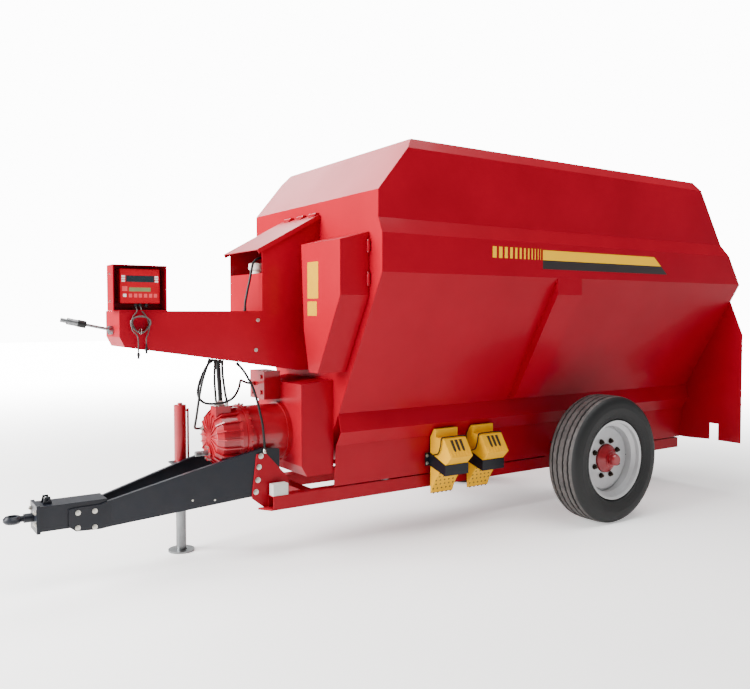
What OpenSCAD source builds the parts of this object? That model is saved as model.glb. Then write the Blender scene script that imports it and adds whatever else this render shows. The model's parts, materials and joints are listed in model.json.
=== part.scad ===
// Trailed feed mixer wagon with one lengthwise auger in a deep V-shaped tub.
// Forward is +X, left is +Y and up is +Z. The ground is at Z = 0.
// Lengths along X are measured from the axle. The finished model is then moved
// so that its origin lies on the ground below the middle of its bounding box.

/* [Tub] */
// Front wall, ahead of the axle
tub_front = 2090; // [1800:10:2300]
// Rear wall, behind the axle
tub_rear = 1680; // [1400:10:1900]
// Half width across the vertical waist band
waist_half = 892; // [850:1:920]
// Height of the lower edge of the waist band
waist_low = 1828; // [1780:1:1880]
// Height of the waist band
waist_h = 237; // [180:1:280]
// Inward step of the shoulder above the waist band
shoulder_in = 42; // [20:1:70]
// Height of the sloping shoulder
shoulder_h = 93; // [60:1:120]
// Height of the rim above the ground
rim_z = 2667; // [2560:1:2720]
// Height of the folded strip below the rim
rim_fold_h = 70; // [40:1:100]
// Inward lean of the folded strip
rim_fold_in = 50; // [20:1:70]
// Setback of the rim at the front
rim_front_in = 278; // [150:1:350]
// Setback of the rim at the rear
rim_rear_in = 563; // [400:1:650]
// Height at which the front wall starts to lean back
front_knee_z = 2327; // [2250:1:2400]
// Thickness of the tub sheet
wall_t = 8; // [5:0.5:12]
// Outer radius of the round trough
trough_r = 298; // [270:1:320]
// Height of the auger and of the trough's axis
auger_z = 840; // [820:1:860]

/* [Auger] */
// Running gap between flight and trough
flight_gap = 18; // [8:1:40]
// Radius of the auger tube
auger_tube_r = 70; // [50:1:90]
// Pitch of the flights
flight_pitch = 460; // [350:10:600]
// Thickness of a flight
flight_t = 10; // [6:1:16]

/* [Skirt and ribs] */
// Height of the skirt's upper edge on the tub wall
skirt_top_z = 919; // [880:1:960]
// Height of the skirt's outer fold
skirt_fold_z = 797; // [760:1:830]
// Half width at the outer fold
skirt_fold_half = 418; // [405:1:440]
// Height at which the skirt turns down
skirt_knee_z = 702; // [660:1:740]
// Half width at that height
skirt_knee_half = 358; // [345:1:375]
// Half width at the skirt's lower edge
skirt_low_half = 327; // [322:1:340]
// Thickness of the skirt sheet
skirt_t = 5; // [3:0.5:8]
// Rear edge of the box rib, ahead of the axle
rib_x = 335; // [200:10:700]
// Width of the box rib
rib_w = 248; // [100:4:260]
// Height of the vertical part of the box rib's outer face
rib_drop = 119; // [60:1:160]

/* [Chassis] */
// Height of the underside of the rails
rail_z = 325; // [300:1:350]
// Height of a rail
rail_h = 90; // [70:1:100]
// Half width over the rails
rail_half = 318; // [300:1:324]
// Width of a rail
rail_w = 84; // [60:1:90]
// Wall of the rail tube
rail_t = 8; // [5:0.5:10]
// Front end of the rails, ahead of the axle
rail_front = 2530; // [2450:10:2560]
// Thickness of a drawbar plate
drawbar_t = 10; // [6:1:14]
// Rear end of the tongue box, ahead of the axle
tongue_rear = 3500; // [3300:10:3560]
// Front face of the tongue box
tongue_front = 3870; // [3800:10:4000]
// Half width of the tongue box
tongue_half = 84; // [70:1:100]
// Underside of the tongue box
tongue_z = 345; // [320:1:360]
// Height of the tongue box
tongue_h = 144; // [120:1:160]
// Radius of the bore of the tow eye
eye_bore_r = 25; // [20:0.5:26]
// Centre of the tow eye, ahead of the axle
eye_x = 4000; // [3960:10:4100]

/* [Wheels] */
// Radius of the tyre
tyre_r = 479; // [460:1:500]
// Width of the tyre
tyre_w = 276; // [250:1:300]
// Distance from the middle of the wagon to the outer face of the tyre
tyre_out = 966; // [950:1:1000]
// Radius of the rim flange
rim_r = 298; // [290:1:305]
// Pitch circle diameter of the wheel nuts
nut_pcd = 275; // [265:1:285]
// Number of wheel nuts
nut_count = 8; // [6:1:10]

/* [Drive] */
// Height of the planetary gearbox and its axis
drive_z = 780; // [760:1:800]
// Radius of the planetary gearbox
drum_r = 200; // [170:1:200]
// Front face of the planetary gearbox, ahead of the axle
drum_front = 2640; // [2600:5:2680]
// Front face of the ribbed input gearcase, ahead of the axle
gearcase_front = 2830; // [2780:5:2860]
// Radius of the power take-off stub
stub_r = 17.5; // [15:0.5:22.5]
// Length of the power take-off stub
stub_len = 80; // [60:1:110]

/* [Front housing] */
// Half width of the control arm
arm_half = 145; // [120:1:150]
// Front end of the control arm, ahead of the axle
arm_front = 3433; // [3300:1:3500]
// Height of the top of the control arm
arm_top = 1593; // [1560:1:1620]
// Depth of the control arm at its front end
arm_h = 214; // [180:1:240]
// Thickness of the housing and arm sheet
cover_t = 5; // [3:0.5:8]
// Front edge of the housing, ahead of the axle
housing_front = 2519; // [2450:1:2560]
// Right side of the housing
housing_right = 372; // [300:1:420]
// Front of the hinged side cover, ahead of the axle
guard_front = 2300; // [2250:1:2330]
// Front of the lower gear cover, ahead of the axle
gear_cover_front = 2331; // [2280:1:2360]

/* [Jack] */
// Position of the parking jack, ahead of the axle
jack_x = 2940; // [2800:10:3100]
// Radius of the jack's outer tube
jack_r = 40; // [35:1:45]
// Height of the top of the jack's outer tube
jack_top = 973; // [900:1:1000]

/* [Discharge door] */
// Rear edge of the door opening, ahead of the axle
door_x = 900; // [700:10:1100]
// Length of the door opening
door_w = 600; // [400:10:700]
// Opening height, measured up the sloping wall
door_h = 300; // [200:10:320]

/* [Hidden] */
$fn = 48;

// Seam between flat sheets that meet, and running gap at pins and bearings
seam = 0.3;
far = 6000;

// Tub outline, half section: outer sheet surface as [half width, height]
shoulder_z = waist_low + waist_h + shoulder_h;
waist_top = waist_low + waist_h;
extension_half = waist_half - shoulder_in;
rim_half = extension_half - rim_fold_in;

// Tangent from the lower edge of the waist band to the trough's circle
function tangent_deg(r) = let (
    dy = waist_half, dz = waist_low - auger_z
) atan2(dz, dy) - acos(r / norm([dy, dz]));
wall_deg = tangent_deg(trough_r);
trough_y = trough_r * cos(wall_deg);
trough_z = auger_z + trough_r * sin(wall_deg);
// Unit vector up the slope of the left wall, as [half width, height]
slope = [-sin(wall_deg), cos(wall_deg)];
// Half width of the outer wall surface at a height on the slope
function wall_half(z) = waist_half - (waist_low - z) * slope[0] / slope[1];

extension_line = [
    [rim_half, rim_z], [extension_half, rim_z - rim_fold_h],
    [extension_half, shoulder_z], [waist_half, waist_top]
];
side_line = [[waist_half, waist_top], [waist_half, waist_low], [trough_y, trough_z]];
skirt_line = [
    [wall_half(skirt_top_z), skirt_top_z], [skirt_fold_half, skirt_fold_z],
    [skirt_knee_half, skirt_knee_z], [skirt_low_half, rail_z + rail_h + 12]
];

// End walls, as [distance ahead of the axle, height]
front_line = [[tub_front, 0], [tub_front, front_knee_z], [tub_front - rim_front_in, rim_z]];
rear_line = [[-tub_rear + rim_rear_in, rim_z], [-tub_rear, waist_low], [-tub_rear, 0]];
tail_half = 928;
tail_low = 440;
tail_top = 1389;
// Height at which the rear plate leaves the wall
tail_meet_z = 1681;

// Auger journals, and the running clearance of every round bearing
journal_r = 45;
bearing_len = 60;
running = 0.05;
// Smallest clearance between parts that move past each other
clear = 5;

// Drawbar and the bolted plates at its rear end, at the rails' inner faces
hitch_plate_t = 12;
drawbar_rear_half = rail_half - rail_w - hitch_plate_t;
drawbar_flange = 30;
drawbar_plan = [
    [2440, drawbar_rear_half], [2600, drawbar_rear_half],
    [tongue_rear - 20, tongue_half + drawbar_t + seam], [tongue_rear + 220, tongue_half + drawbar_t + seam]
];
// Its side view, along the bottom and back along the top
drawbar_nose = tongue_rear + 220;
drawbar_bottom = [
    [2440, rail_z + rail_h - 15], [2647, rail_z + rail_h - 7], [tongue_rear + 45, tongue_z - 29],
    [drawbar_nose - 40, tongue_z - 22]
];
drawbar_top = [
    [drawbar_nose - 40, tongue_z + tongue_h - 30], [tongue_rear + 45, tongue_z + tongue_h - 28],
    [3000, 606], [2561, 714], [2440, 700]
];
drawbar_side = concat(
    drawbar_bottom, [[drawbar_nose, tongue_z + 10], [drawbar_nose, tongue_z + tongue_h - 36]], drawbar_top
);

// Wheel, measured from its middle plane: tyre, rim and hub on one axis
wheel_mid = tyre_out - tyre_w / 2;
rim_half_w = 117;
bead_half_w = 104;
bead_r = 286;
rim_sheet = 8;
disc_out = 22;
disc_t = 12;
well_r = 258;
hub_bore_r = 110.5;
spindle_r = 30;
beam = 98;

eye_r = eye_bore_r + 25;
front_most = eye_x + eye_r;
rear_most = tub_rear + wall_t + bearing_len;
x_mid = (front_most - rear_most) / 2;

module place() { translate([-x_mid, 0, 0]) children(); }
module both_sides() { children(); mirror([0, 1, 0]) children(); }
// A section drawn as [half width, height], run along X
module along_x(x0, x1) {
    translate([x0, 0, 0]) rotate([90, 0, 90]) linear_extrude(x1 - x0) children();
}
// A side view drawn as [ahead of the axle, height], run across Y
module across_y(y0, y1) {
    translate([0, y1, 0]) rotate([90, 0, 0]) linear_extrude(y1 - y0) children();
}
// A plan drawn as [ahead of the axle, to the left], run up Z
module up_z(z0, z1) { translate([0, 0, z0]) linear_extrude(z1 - z0) children(); }
module box(low, high) { translate(low) cube(high - low); }
module x_rod(x0, x1, r) { translate([x0, 0, 0]) rotate([0, 90, 0]) cylinder(r = r, h = x1 - x0); }
module y_rod(y0, y1, r) { translate([0, y1, 0]) rotate([90, 0, 0]) cylinder(r = r, h = y1 - y0); }

// Left-hand normal of a line's segment i, and a mitred copy of the line at distance t
function segment_normal(line, i) = let (d = line[i + 1] - line[i]) [-d[1], d[0]] / norm(d);
function mitre(a, b) = (a + b) / (1 + a * b);
function beside(line, t) = let (last = len(line) - 1) [
    for (i = [0:last]) line[i] + t * (
        i == 0 ? segment_normal(line, 0)
        : i == last ? segment_normal(line, last - 1)
        : mitre(segment_normal(line, i - 1), segment_normal(line, i))
    )
];
function reversed(line) = [for (i = [len(line) - 1:-1:0]) line[i]];
// Bent sheet of thickness t to the left of a line
module sheet(line, t) { polygon(concat(line, reversed(beside(line, t)))); }

// The tub as one full body, shrunk by t. Its round bottom is a hair smaller than the circle
// that the walls touch, so that plane and cylinder cross instead of only touching.
tangent_slip = 0.05;
module tub_body(t) {
    upper = beside(tub_line, -t);
    lean = (upper[0][0] - upper[1][0]) / (upper[0][1] - upper[1][1]);
    left = concat([[upper[1][0] + lean * (rim_z - upper[1][1]), rim_z]], part(upper, 1, len(upper) - 1));
    along_x(-far, far) polygon(concat(left, reversed(flip(left))));
    translate([0, 0, auger_z]) x_rod(-far, far, trough_r - t - tangent_slip);
}
// A closed loop, drawn counterclockwise, moved inwards by t
function inset(loop, t) = let (last = len(loop) - 1, closed = concat([loop[last]], loop, [loop[0]])) [
    for (i = [0:last]) loop[i] + t * mitre(segment_normal(closed, i), segment_normal(closed, i + 1))
];
function part(line, a, b) = [for (i = [a:b]) line[i]];
function flip(line) = [for (p = line) [-p[0], p[1]]];

// The whole outer line of the tub's left half, from the rim to the trough, and its inner line
tub_line = concat(extension_line, [side_line[1], side_line[2]]);
tub_inner = beside(tub_line, -wall_t);
module tub_strip(a, b, left) {
    strip = concat(part(tub_line, a, b), reversed(part(tub_inner, a, b)));
    polygon(left ? strip : flip(strip));
}
// The tub's outline seen from the side
module side_view() { polygon(concat(front_line, rear_line)); }
module above(z) { box([-far, -far, z], [far, far, far]); }
module below(z) { box([-far, -far, -far], [far, far, z]); }

// Local place on the right wall: X runs forward, -Y out of the wall and Z up the slope
door_z = skirt_top_z + 21;
module on_right_wall() {
    translate([0, -wall_half(door_z), door_z]) rotate([-wall_deg, 0, 0]) children();
}

// Tub
module trough_arc() {
    reach = 2 * trough_r;
    edge_deg = wall_deg - 0.05;
    intersection() {
        difference() { circle(r = trough_r, $fn = 96); circle(r = trough_r - wall_t, $fn = 96); }
        polygon([
            [0, 0], reach * [cos(edge_deg), sin(edge_deg)], [0, -reach],
            reach * [-cos(edge_deg), sin(edge_deg)]
        ]);
    }
}
module trough() color("#a80f1b") place() {
    along_x(-tub_rear, tub_front) translate([0, auger_z]) trough_arc();
}
module tub_side(left) {
    intersection() {
        along_x(-tub_rear, tub_front) tub_strip(3, 5, left);
        across_y(-far, far) side_view();
    }
}
module tub_side_left() color("#b3101c") place() tub_side(true);
module tub_side_right() color("#b3101c") place() difference() {
    tub_side(false);
    on_right_wall() box([door_x, -10, 0], [door_x + door_w, wall_t + 10, door_h]);
}
module extension_side(left) {
    intersection() {
        along_x(-tub_rear, tub_front) tub_strip(0, 3, left);
        across_y(-far, far) side_view();
    }
}
module extension_left() color("#b3101c") place() extension_side(true);
module extension_right() color("#b3101c") place() extension_side(false);
// End walls stand between the side sheets
module end_wall(line) {
    intersection() {
        tub_body(wall_t + seam);
        across_y(-far, far) sheet(line, wall_t);
    }
}
module tub_front_wall() color("#b3101c") place() intersection() {
    below(waist_top);
    difference() {
        end_wall(front_line);
        translate([0, 0, auger_z]) x_rod(tub_front - wall_t - 1, tub_front + 1, journal_r + seam);
    }
}
module extension_front() color("#b3101c") place() intersection() {
    above(waist_top);
    end_wall(front_line);
}
module extension_rear() color("#b3101c") place() intersection() {
    above(waist_low);
    end_wall(rear_line);
}
// Flat rear plate: it closes the tub and reaches out past the sloping walls
module tub_rear_wall() color("#b3101c") place() difference() {
    half = [
        [0, waist_low], [waist_half, waist_low], [wall_half(tail_meet_z), tail_meet_z],
        [tail_half, tail_top], [tail_half, tail_low], [719, tail_low], [719, tail_low + 147],
        [632, tail_low + 147], [632, tail_low], [443, tail_low - 10], [0, tail_low - 10]
    ];
    along_x(-tub_rear - wall_t, -tub_rear) polygon(concat(half, reversed(flip(half))));
    translate([0, 0, auger_z]) x_rod(-tub_rear - wall_t - 1, -tub_rear + 1, journal_r + seam);
}

// Box ribs that brace the sloping walls below the waist band
rib_sheet = 5;
rib_reach = rib_drop * slope[0] / slope[1];
rib_foot_z = skirt_top_z + 25;
module rib_section() {
    foot = wall_half(rib_foot_z);
    polygon([
        [waist_half, waist_low], [waist_half, waist_low - rib_drop],
        [foot + rib_reach, rib_foot_z], [foot, rib_foot_z]
    ]);
}
module rib() difference() {
    along_x(rib_x, rib_x + rib_w) rib_section();
    along_x(rib_x + rib_sheet, rib_x + rib_w - rib_sheet) translate([-rib_sheet, 0]) rib_section();
    tub_body(-seam);
}
module side_ribs() color("#b3101c") place() both_sides() rib();

// Skirts that hide the trough, with a hole each for the axle beam
module skirt() difference() {
    along_x(-tub_rear, tub_front) sheet(skirt_line, -skirt_t);
    tub_body(-seam);
    box([-beam / 2 - 12, 0, 0], [beam / 2 + 12, far, tyre_r + beam / 2 + 12]);
}
module skirts() color("#b3101c") place() both_sides() skirt();

// The tub stands on four load cells through two saddles
saddle_x = [-1250, 1650];
saddle_t = 20;
saddle_half = 308;
cell_y = rail_half - rail_w / 2;
cell_r = 34;
cell_h = 55;
saddle_z = rail_z + rail_h + cell_h;
module tub_feet() color("#8f0d17") place() for (x = saddle_x) difference() {
    union() {
        box([x - saddle_t / 2, -saddle_half, saddle_z], [x + saddle_t / 2, saddle_half, saddle_z + 190]);
        box([x - 60, -saddle_half, saddle_z], [x + 60, saddle_half, saddle_z + 12]);
    }
    translate([0, 0, auger_z]) x_rod(x - 100, x + 100, trough_r + seam);
}
module load_cells() color("#9aa0a4") place() for (x = saddle_x, side = [-1, 1]) {
    translate([x, side * cell_y, saddle_z - cell_h]) cylinder(r = cell_r, h = cell_h);
}

// Chassis
cross_x = [-1600, -700, 300, 1200, 2200];
cross_w = 80;
module rail() difference() {
    box([-tub_rear + 10, rail_half - rail_w, rail_z], [rail_front, rail_half, rail_z + rail_h]);
    box([-tub_rear, rail_half - rail_w + rail_t, rail_z + rail_t],
        [rail_front + 10, rail_half - rail_t, rail_z + rail_h - rail_t]);
}
module chassis_rails() color("#a80f1b") place() both_sides() rail();
module cross_members() color("#a80f1b") place() for (x = cross_x) {
    box([x, -rail_half + rail_w, rail_z + 8], [x + cross_w, rail_half - rail_w, rail_z + rail_h - 8]);
}
// Bolted plates that carry the drawbar on the rails' inner faces
module hitch_plate() {
    inner = rail_half - rail_w - hitch_plate_t;
    across_y(inner, inner + hitch_plate_t) polygon([
        [2380, rail_z], [rail_front + 15, rail_z], [2640, rail_z + 75], [2605, rail_z + 355],
        [2540, rail_z + 355], [2380, rail_z + rail_h + 90]
    ]);
    up_z(rail_z, rail_z + 12) polygon([
        [rail_front, inner + hitch_plate_t], [2600, inner + hitch_plate_t],
        [rail_front + 15, rail_half], [rail_front, rail_half]
    ]);
}
module hitch_plates() color("#a80f1b") place() both_sides() hitch_plate();
// Drawbar plates: folded channels that close in on the tongue box
module drawbar_plate() difference() {
    drawbar_sheet();
    // The top fold ends where the tongue box begins
    box([tongue_rear - 1, 0, tongue_z - 1], [far, tongue_half + seam, far]);
}
module drawbar_sheet() {
    intersection() {
        up_z(0, far) sheet(drawbar_plan, -drawbar_t);
        across_y(0, far) polygon(drawbar_side);
    }
    for (edge = [drawbar_top, drawbar_bottom]) intersection() {
        up_z(0, far) sheet(beside(drawbar_plan, -drawbar_t + 1), -drawbar_flange + drawbar_t);
        across_y(0, far) sheet(edge, drawbar_t - 2);
    }
}
module drawbar_plates() color("#222c30") place() both_sides() drawbar_plate();
tongue_wall = 10;
flange_t = 20;
lug_x = tongue_front - 75;
module drawbar_tongue() color("#222c30") place() {
    difference() {
        box([tongue_rear, -tongue_half, tongue_z], [tongue_front, tongue_half, tongue_z + tongue_h]);
        box([tongue_rear - 1, -tongue_half + tongue_wall, tongue_z + tongue_wall],
            [tongue_front - tongue_wall, tongue_half - tongue_wall, tongue_z + tongue_h - tongue_wall]);
    }
    box([tongue_front, -tongue_half - 10, tongue_z - 8],
        [tongue_front + flange_t, tongue_half + 10, tongue_z + tongue_h + 8]);
    for (y = [-34, 26]) difference() {
        across_y(y, y + 8) polygon([
            [lug_x, tongue_z + tongue_h], [lug_x + 50, tongue_z + tongue_h],
            [lug_x + 40, tongue_z + tongue_h + 42], [lug_x + 10, tongue_z + tongue_h + 42]
        ]);
        translate([lug_x + 25, 0, tongue_z + tongue_h + 24]) y_rod(y - 1, y + 9, 8);
    }
}
eye_z = tongue_z + tongue_h / 2;
eye_half_h = 20;
shank_r = 26;
module tow_eye() color("#30383b") place() {
    difference() {
        union() {
            translate([eye_x, 0, eye_z]) rotate_extrude($fn = 64) polygon([
                [0, -eye_half_h], [eye_r - 12, -eye_half_h], [eye_r, -8],
                [eye_r, 8], [eye_r - 12, eye_half_h], [0, eye_half_h]
            ]);
            translate([0, 0, eye_z]) x_rod(tongue_front + flange_t, eye_x, shank_r - 8);
            translate([0, 0, eye_z]) x_rod(tongue_front + flange_t, eye_x - eye_r - 8, shank_r);
        }
        translate([eye_x, 0, eye_z - 100]) cylinder(r = eye_bore_r, h = 200);
    }
}

// Running gear
hub_in = wheel_mid - 62;
module axle() color("#8f0d17") place() {
    translate([0, 0, tyre_r]) {
        box([-beam / 2, -hub_in + 4, -beam / 2], [beam / 2, hub_in - 4, beam / 2]);
        y_rod(-wheel_mid - 40, wheel_mid + 40, spindle_r);
    }
    for (side = [-1, 1]) box(
        [-90, side * cell_y - rail_w / 2, rail_z + rail_h],
        [90, side * cell_y + rail_w / 2, tyre_r - beam / 2 + 1]
    );
}
// A wheel is drawn with its axis along Z and its outer face up
module at_wheel(left) {
    place() translate([0, left ? wheel_mid : -wheel_mid, tyre_r]) rotate([left ? -90 : 90, 0, 0])
        children();
}
module tyre() {
    w = tyre_w / 2;
    rotate_extrude($fn = 96) polygon([
        [rim_r + 2, bead_half_w], [rim_r + 16, w - 14], [rim_r + 60, w - 3], [rim_r + 95, w],
        [tyre_r - 46, w - 4], [tyre_r - 16, w - 16], [tyre_r - 4, w - 40], [tyre_r, w - 75],
        [tyre_r, -w + 75], [tyre_r - 4, -w + 40], [tyre_r - 16, -w + 16], [tyre_r - 46, -w + 4],
        [rim_r + 95, -w], [rim_r + 60, -w + 3], [rim_r + 16, -w + 14], [rim_r + 2, -bead_half_w],
        [bead_r + seam, -bead_half_w], [bead_r + seam, -84], [bead_r + 24, -70],
        [bead_r + 24, 70], [bead_r + seam, 84], [bead_r + seam, bead_half_w]
    ]);
}
module tyre_left() color("#26282a") at_wheel(true) tyre();
module tyre_right() color("#26282a") at_wheel(false) tyre();
rim_outer = [
    [rim_r, -rim_half_w], [rim_r, -bead_half_w - 1], [bead_r, -bead_half_w - 1], [bead_r, -80],
    [well_r, -60], [well_r, 60], [bead_r, 80], [bead_r, bead_half_w + 1], [rim_r, bead_half_w + 1],
    [rim_r, rim_half_w]
];
disc_edge = 240;
module rim() {
    inner = [
        [rim_r - 8, rim_half_w], [bead_r - rim_sheet, rim_half_w - 6], [bead_r - rim_sheet, 82],
        [well_r - rim_sheet, 62], [well_r - rim_sheet, -62], [bead_r - rim_sheet, -82],
        [bead_r - rim_sheet, -rim_half_w + 6],
        [rim_r - 8, -rim_half_w]
    ];
    rotate_extrude($fn = 96) polygon(concat(rim_outer, inner));
    difference() {
        rotate_extrude($fn = 96) polygon([
            [hub_bore_r, disc_out - disc_t], [hub_flange_r + 6, disc_out - disc_t],
            [disc_edge - 20, disc_out - disc_t - 4],
            [well_r - rim_sheet + 2, disc_out - disc_t - 16], [well_r - rim_sheet + 2, disc_out - 16],
            [disc_edge, disc_out - 10], [disc_edge - 8, disc_out - 4], [hub_bore_r, disc_out]
        ]);
        for (i = [0:nut_count - 1]) rotate((i + 0.5) * 360 / nut_count)
            translate([nut_pcd / 2, 0, -50]) cylinder(r = stud_hole_r, h = 100);
    }
}
module rim_left() color("#c9cdd0") at_wheel(true) rim();
module rim_right() color("#c9cdd0") at_wheel(false) rim();
// Hub: flange behind the disc, a cone in front of it and a long round cap
hub_r = 106;
hub_flange_r = 168;
hub_back = 62;
cap_r = 46;
cap_out = tyre_w / 2 - 8;
stud_hole_r = 11;
module hub() difference() {
    rotate_extrude($fn = 64) polygon([
        [0, -hub_back], [72, -hub_back], [72, disc_out - disc_t - 15], [hub_flange_r, disc_out - disc_t - 15],
        [hub_flange_r, disc_out - disc_t - seam], [hub_r, disc_out - disc_t - seam], [hub_r, disc_out + 14],
        [hub_r - 12, disc_out + 22], [66, disc_out + 46], [60, disc_out + 50], [60, disc_out + 58],
        [cap_r, disc_out + 60], [cap_r - 2, cap_out - 12], [cap_r - 10, cap_out], [0, cap_out]
    ]);
    translate([0, 0, -hub_back - 1]) cylinder(r = spindle_r + running, h = hub_back + 52);
    for (i = [0:nut_count - 1]) rotate((i + 0.5) * 360 / nut_count)
        translate([nut_pcd / 2, 0, -50]) cylinder(r = stud_hole_r, h = 100);
}
module hub_left() color("#a80f1b") at_wheel(true) hub();
module hub_right() color("#a80f1b") at_wheel(false) hub();

// Auger: hollow tube with solid journals that run in the end walls and the rear bearing
tube_gap = 12;
module auger_shaft() color("#8c8f91") place() translate([0, 0, auger_z]) {
    difference() {
        x_rod(-tub_rear + tube_gap, tub_front - wall_t - tube_gap, auger_tube_r);
        for (x = [-tub_rear + 60, 260]) x_rod(x, x + tub_front - 340, auger_tube_r - 10);
    }
    x_rod(-tub_rear - wall_t - bearing_len, -tub_rear + tube_gap + 1, journal_r);
    x_rod(tub_front - wall_t - tube_gap - 1, tub_front + 90, journal_r);
}
// One flight: a helical strip round the tube, swept in steps
flight_r = trough_r - wall_t - flight_gap;
flight_steps = 24;
flight_mid = 0.72 * flight_r;
// Section of a flight, as [along the axis, radius]
flight_section = [
    [0, auger_tube_r + 1], [0, flight_mid], [0, flight_r],
    [flight_t, flight_r], [flight_t, flight_mid], [flight_t, auger_tube_r + 1]
];
module flight(x0, x1, hand) {
    turns = (x1 - x0) / flight_pitch;
    steps = ceil(turns * flight_steps);
    corners = [
        for (i = [0:steps])
        let (x = x0 + (x1 - x0 - flight_t) * i / steps, a = hand * 360 * turns * i / steps)
        for (c = flight_section) [x + c[0], c[1] * cos(a), c[1] * sin(a)]
    ];
    n = len(flight_section);
    side_pairs = [for (i = [0:steps - 1], k = [0:n - 1]) [n * i + k, n * i + (k + 1) % n]];
    faces = concat(
        [[5, 4, 1, 0], [4, 3, 2, 1]],
        [for (p = side_pairs) [p[0], p[1], p[1] + n]],
        [for (p = side_pairs) [p[0], p[1] + n, p[0] + n]],
        [for (cap = [[0, 1, 4, 5], [1, 2, 3, 4]]) [for (k = cap) n * steps + k]]
    );
    polyhedron(corners, hand > 0 ? faces : [for (f = faces) reversed(f)]);
}
flights_meet = door_x + door_w / 2;
module auger_flight() color("#77797b") place() translate([0, 0, auger_z]) {
    flight(-tub_rear + 40, flights_meet - 60, 1);
    flight(flights_meet + 60, tub_front - wall_t - 40, -1);
}
// Knives: pointed plates bolted to the flights' working faces, a little proud of their edge.
// Each lies along the helix at its own place, on the side that faces the discharge.
knife_every = 10;
knife_half = 45;
knife_in = 62;
knife_out = 9;
knife_t = 7;
knife_off = 3.2;
module knives(x0, x1, hand) {
    turns = (x1 - x0) / flight_pitch;
    steps = ceil(turns * flight_steps);
    lean = atan(flight_pitch / (2 * PI * (flight_r - knife_in / 2)));
    for (i = [4:knife_every:steps - 3]) translate([x0 + (x1 - x0 - flight_t) * i / steps, 0, 0])
        rotate([hand * 360 * turns * i / steps, 0, 0])
            translate([flight_t / 2, 0, 0]) rotate([0, hand * lean, 0])
            translate([hand * (flight_t / 2 + knife_off) + (hand > 0 ? 0 : -knife_t), 0, 0])
            rotate([90, 0, 90]) linear_extrude(knife_t) polygon([
                [flight_r - knife_in, -knife_half], [flight_r - 6, -knife_half],
                [flight_r + knife_out, 0], [flight_r - 6, knife_half], [flight_r - knife_in, knife_half]
            ]);
}
module auger_knives() color("#9b9ea0") place() translate([0, 0, auger_z]) {
    knives(-tub_rear + 40, flights_meet - 60, 1);
    knives(flights_meet + 60, tub_front - wall_t - 40, -1);
}
module rear_bearing() color("#5d6164") place() translate([0, 0, auger_z]) difference() {
    union() {
        x_rod(-tub_rear - wall_t - bearing_len, -tub_rear - wall_t, 78);
        x_rod(-tub_rear - wall_t - 22, -tub_rear - wall_t, 115);
    }
    x_rod(-tub_rear - 200, -tub_rear, journal_r + running);
}

// Drive
cover_half = 320;
cover_low = 515;
cover_top = 1118;
module gear_cover() color("#a80f1b") place() difference() {
    across_y(-cover_half, cover_half) polygon([
        [tub_front, cover_low], [gear_cover_front - 40, cover_low], [gear_cover_front, cover_low + 70],
        [gear_cover_front, cover_top], [tub_front, cover_top + 20]
    ]);
    across_y(-cover_half + cover_t, cover_half - cover_t) polygon([
        [tub_front - 1, cover_low + cover_t], [gear_cover_front - 43, cover_low + cover_t],
        [gear_cover_front - 8, cover_low + 72], [gear_cover_front - 8, cover_top - cover_t],
        [tub_front - 1, cover_top + 20 - cover_t]
    ]);
}
module planetary_drive() color("#a80f1b") place() translate([0, 0, drive_z]) {
    x_rod(gear_cover_front, gear_cover_front + 30, drum_r);
    x_rod(gear_cover_front + 30, drum_front - 26, drum_r - 12);
    x_rod(drum_front - 26, drum_front, drum_r);
}
rib_count = 20;
fin_half = 4;
input_drop = 100;
// Its body and its fins, as [distance ahead of the drum, radius]
case_len = gearcase_front - drum_front;
case_line = [
    [seam, drum_r - 10], [34, drum_r - 10], [52, drum_r - 22], [case_len - 34, drum_r - 28],
    [case_len, drum_r - 58]
];
fin_line = [[30, drum_r - 4], [case_len - 40, drum_r - 8], [case_len + 6, drum_r - 52]];
seal_out = 16;
shaft_r = 22;
// Flat block on top of the gearcase that takes the hoses
port_block = [[drum_front + 82, 2], [drum_front + 182, 92]];
port_h = 204;
module input_gearcase() color("#b3101c") place() translate([0, 0, drive_z]) difference() {
    union() {
        translate([drum_front, 0, 0]) rotate([0, 90, 0]) rotate_extrude($fn = 72)
            polygon(concat([[0, seam]], [for (p = case_line) [p[1], p[0]]], [[0, case_len]]));
        for (i = [0:rib_count - 1]) rotate([i * 360 / rib_count, 0, 0]) translate([drum_front, 0, 0])
            across_y(-fin_half, fin_half) polygon(concat([[30, 0]], fin_line, [[case_len + 6, 0]]));
        translate([0, 0, -input_drop]) x_rod(gearcase_front - 30, gearcase_front + seal_out, 52);
        box(concat(port_block[0], [120]), concat(port_block[1], [port_h]));
    }
    translate([0, 0, -input_drop]) x_rod(gearcase_front - 60, far, shaft_r + running);
}
module input_shaft() color("#b9bdc0") place() translate([0, 0, drive_z - input_drop]) difference() {
    union() {
        x_rod(gearcase_front - 58, gearcase_front + seal_out, shaft_r);
        x_rod(gearcase_front, gearcase_front + seal_out + stub_len, stub_r);
    }
    translate([gearcase_front + stub_len - 26, 0, 0]) rotate([0, 90, 0]) rotate_extrude($fn = 48)
        translate([stub_r + 1.5, 4]) circle(r = 4.5);
}

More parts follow.
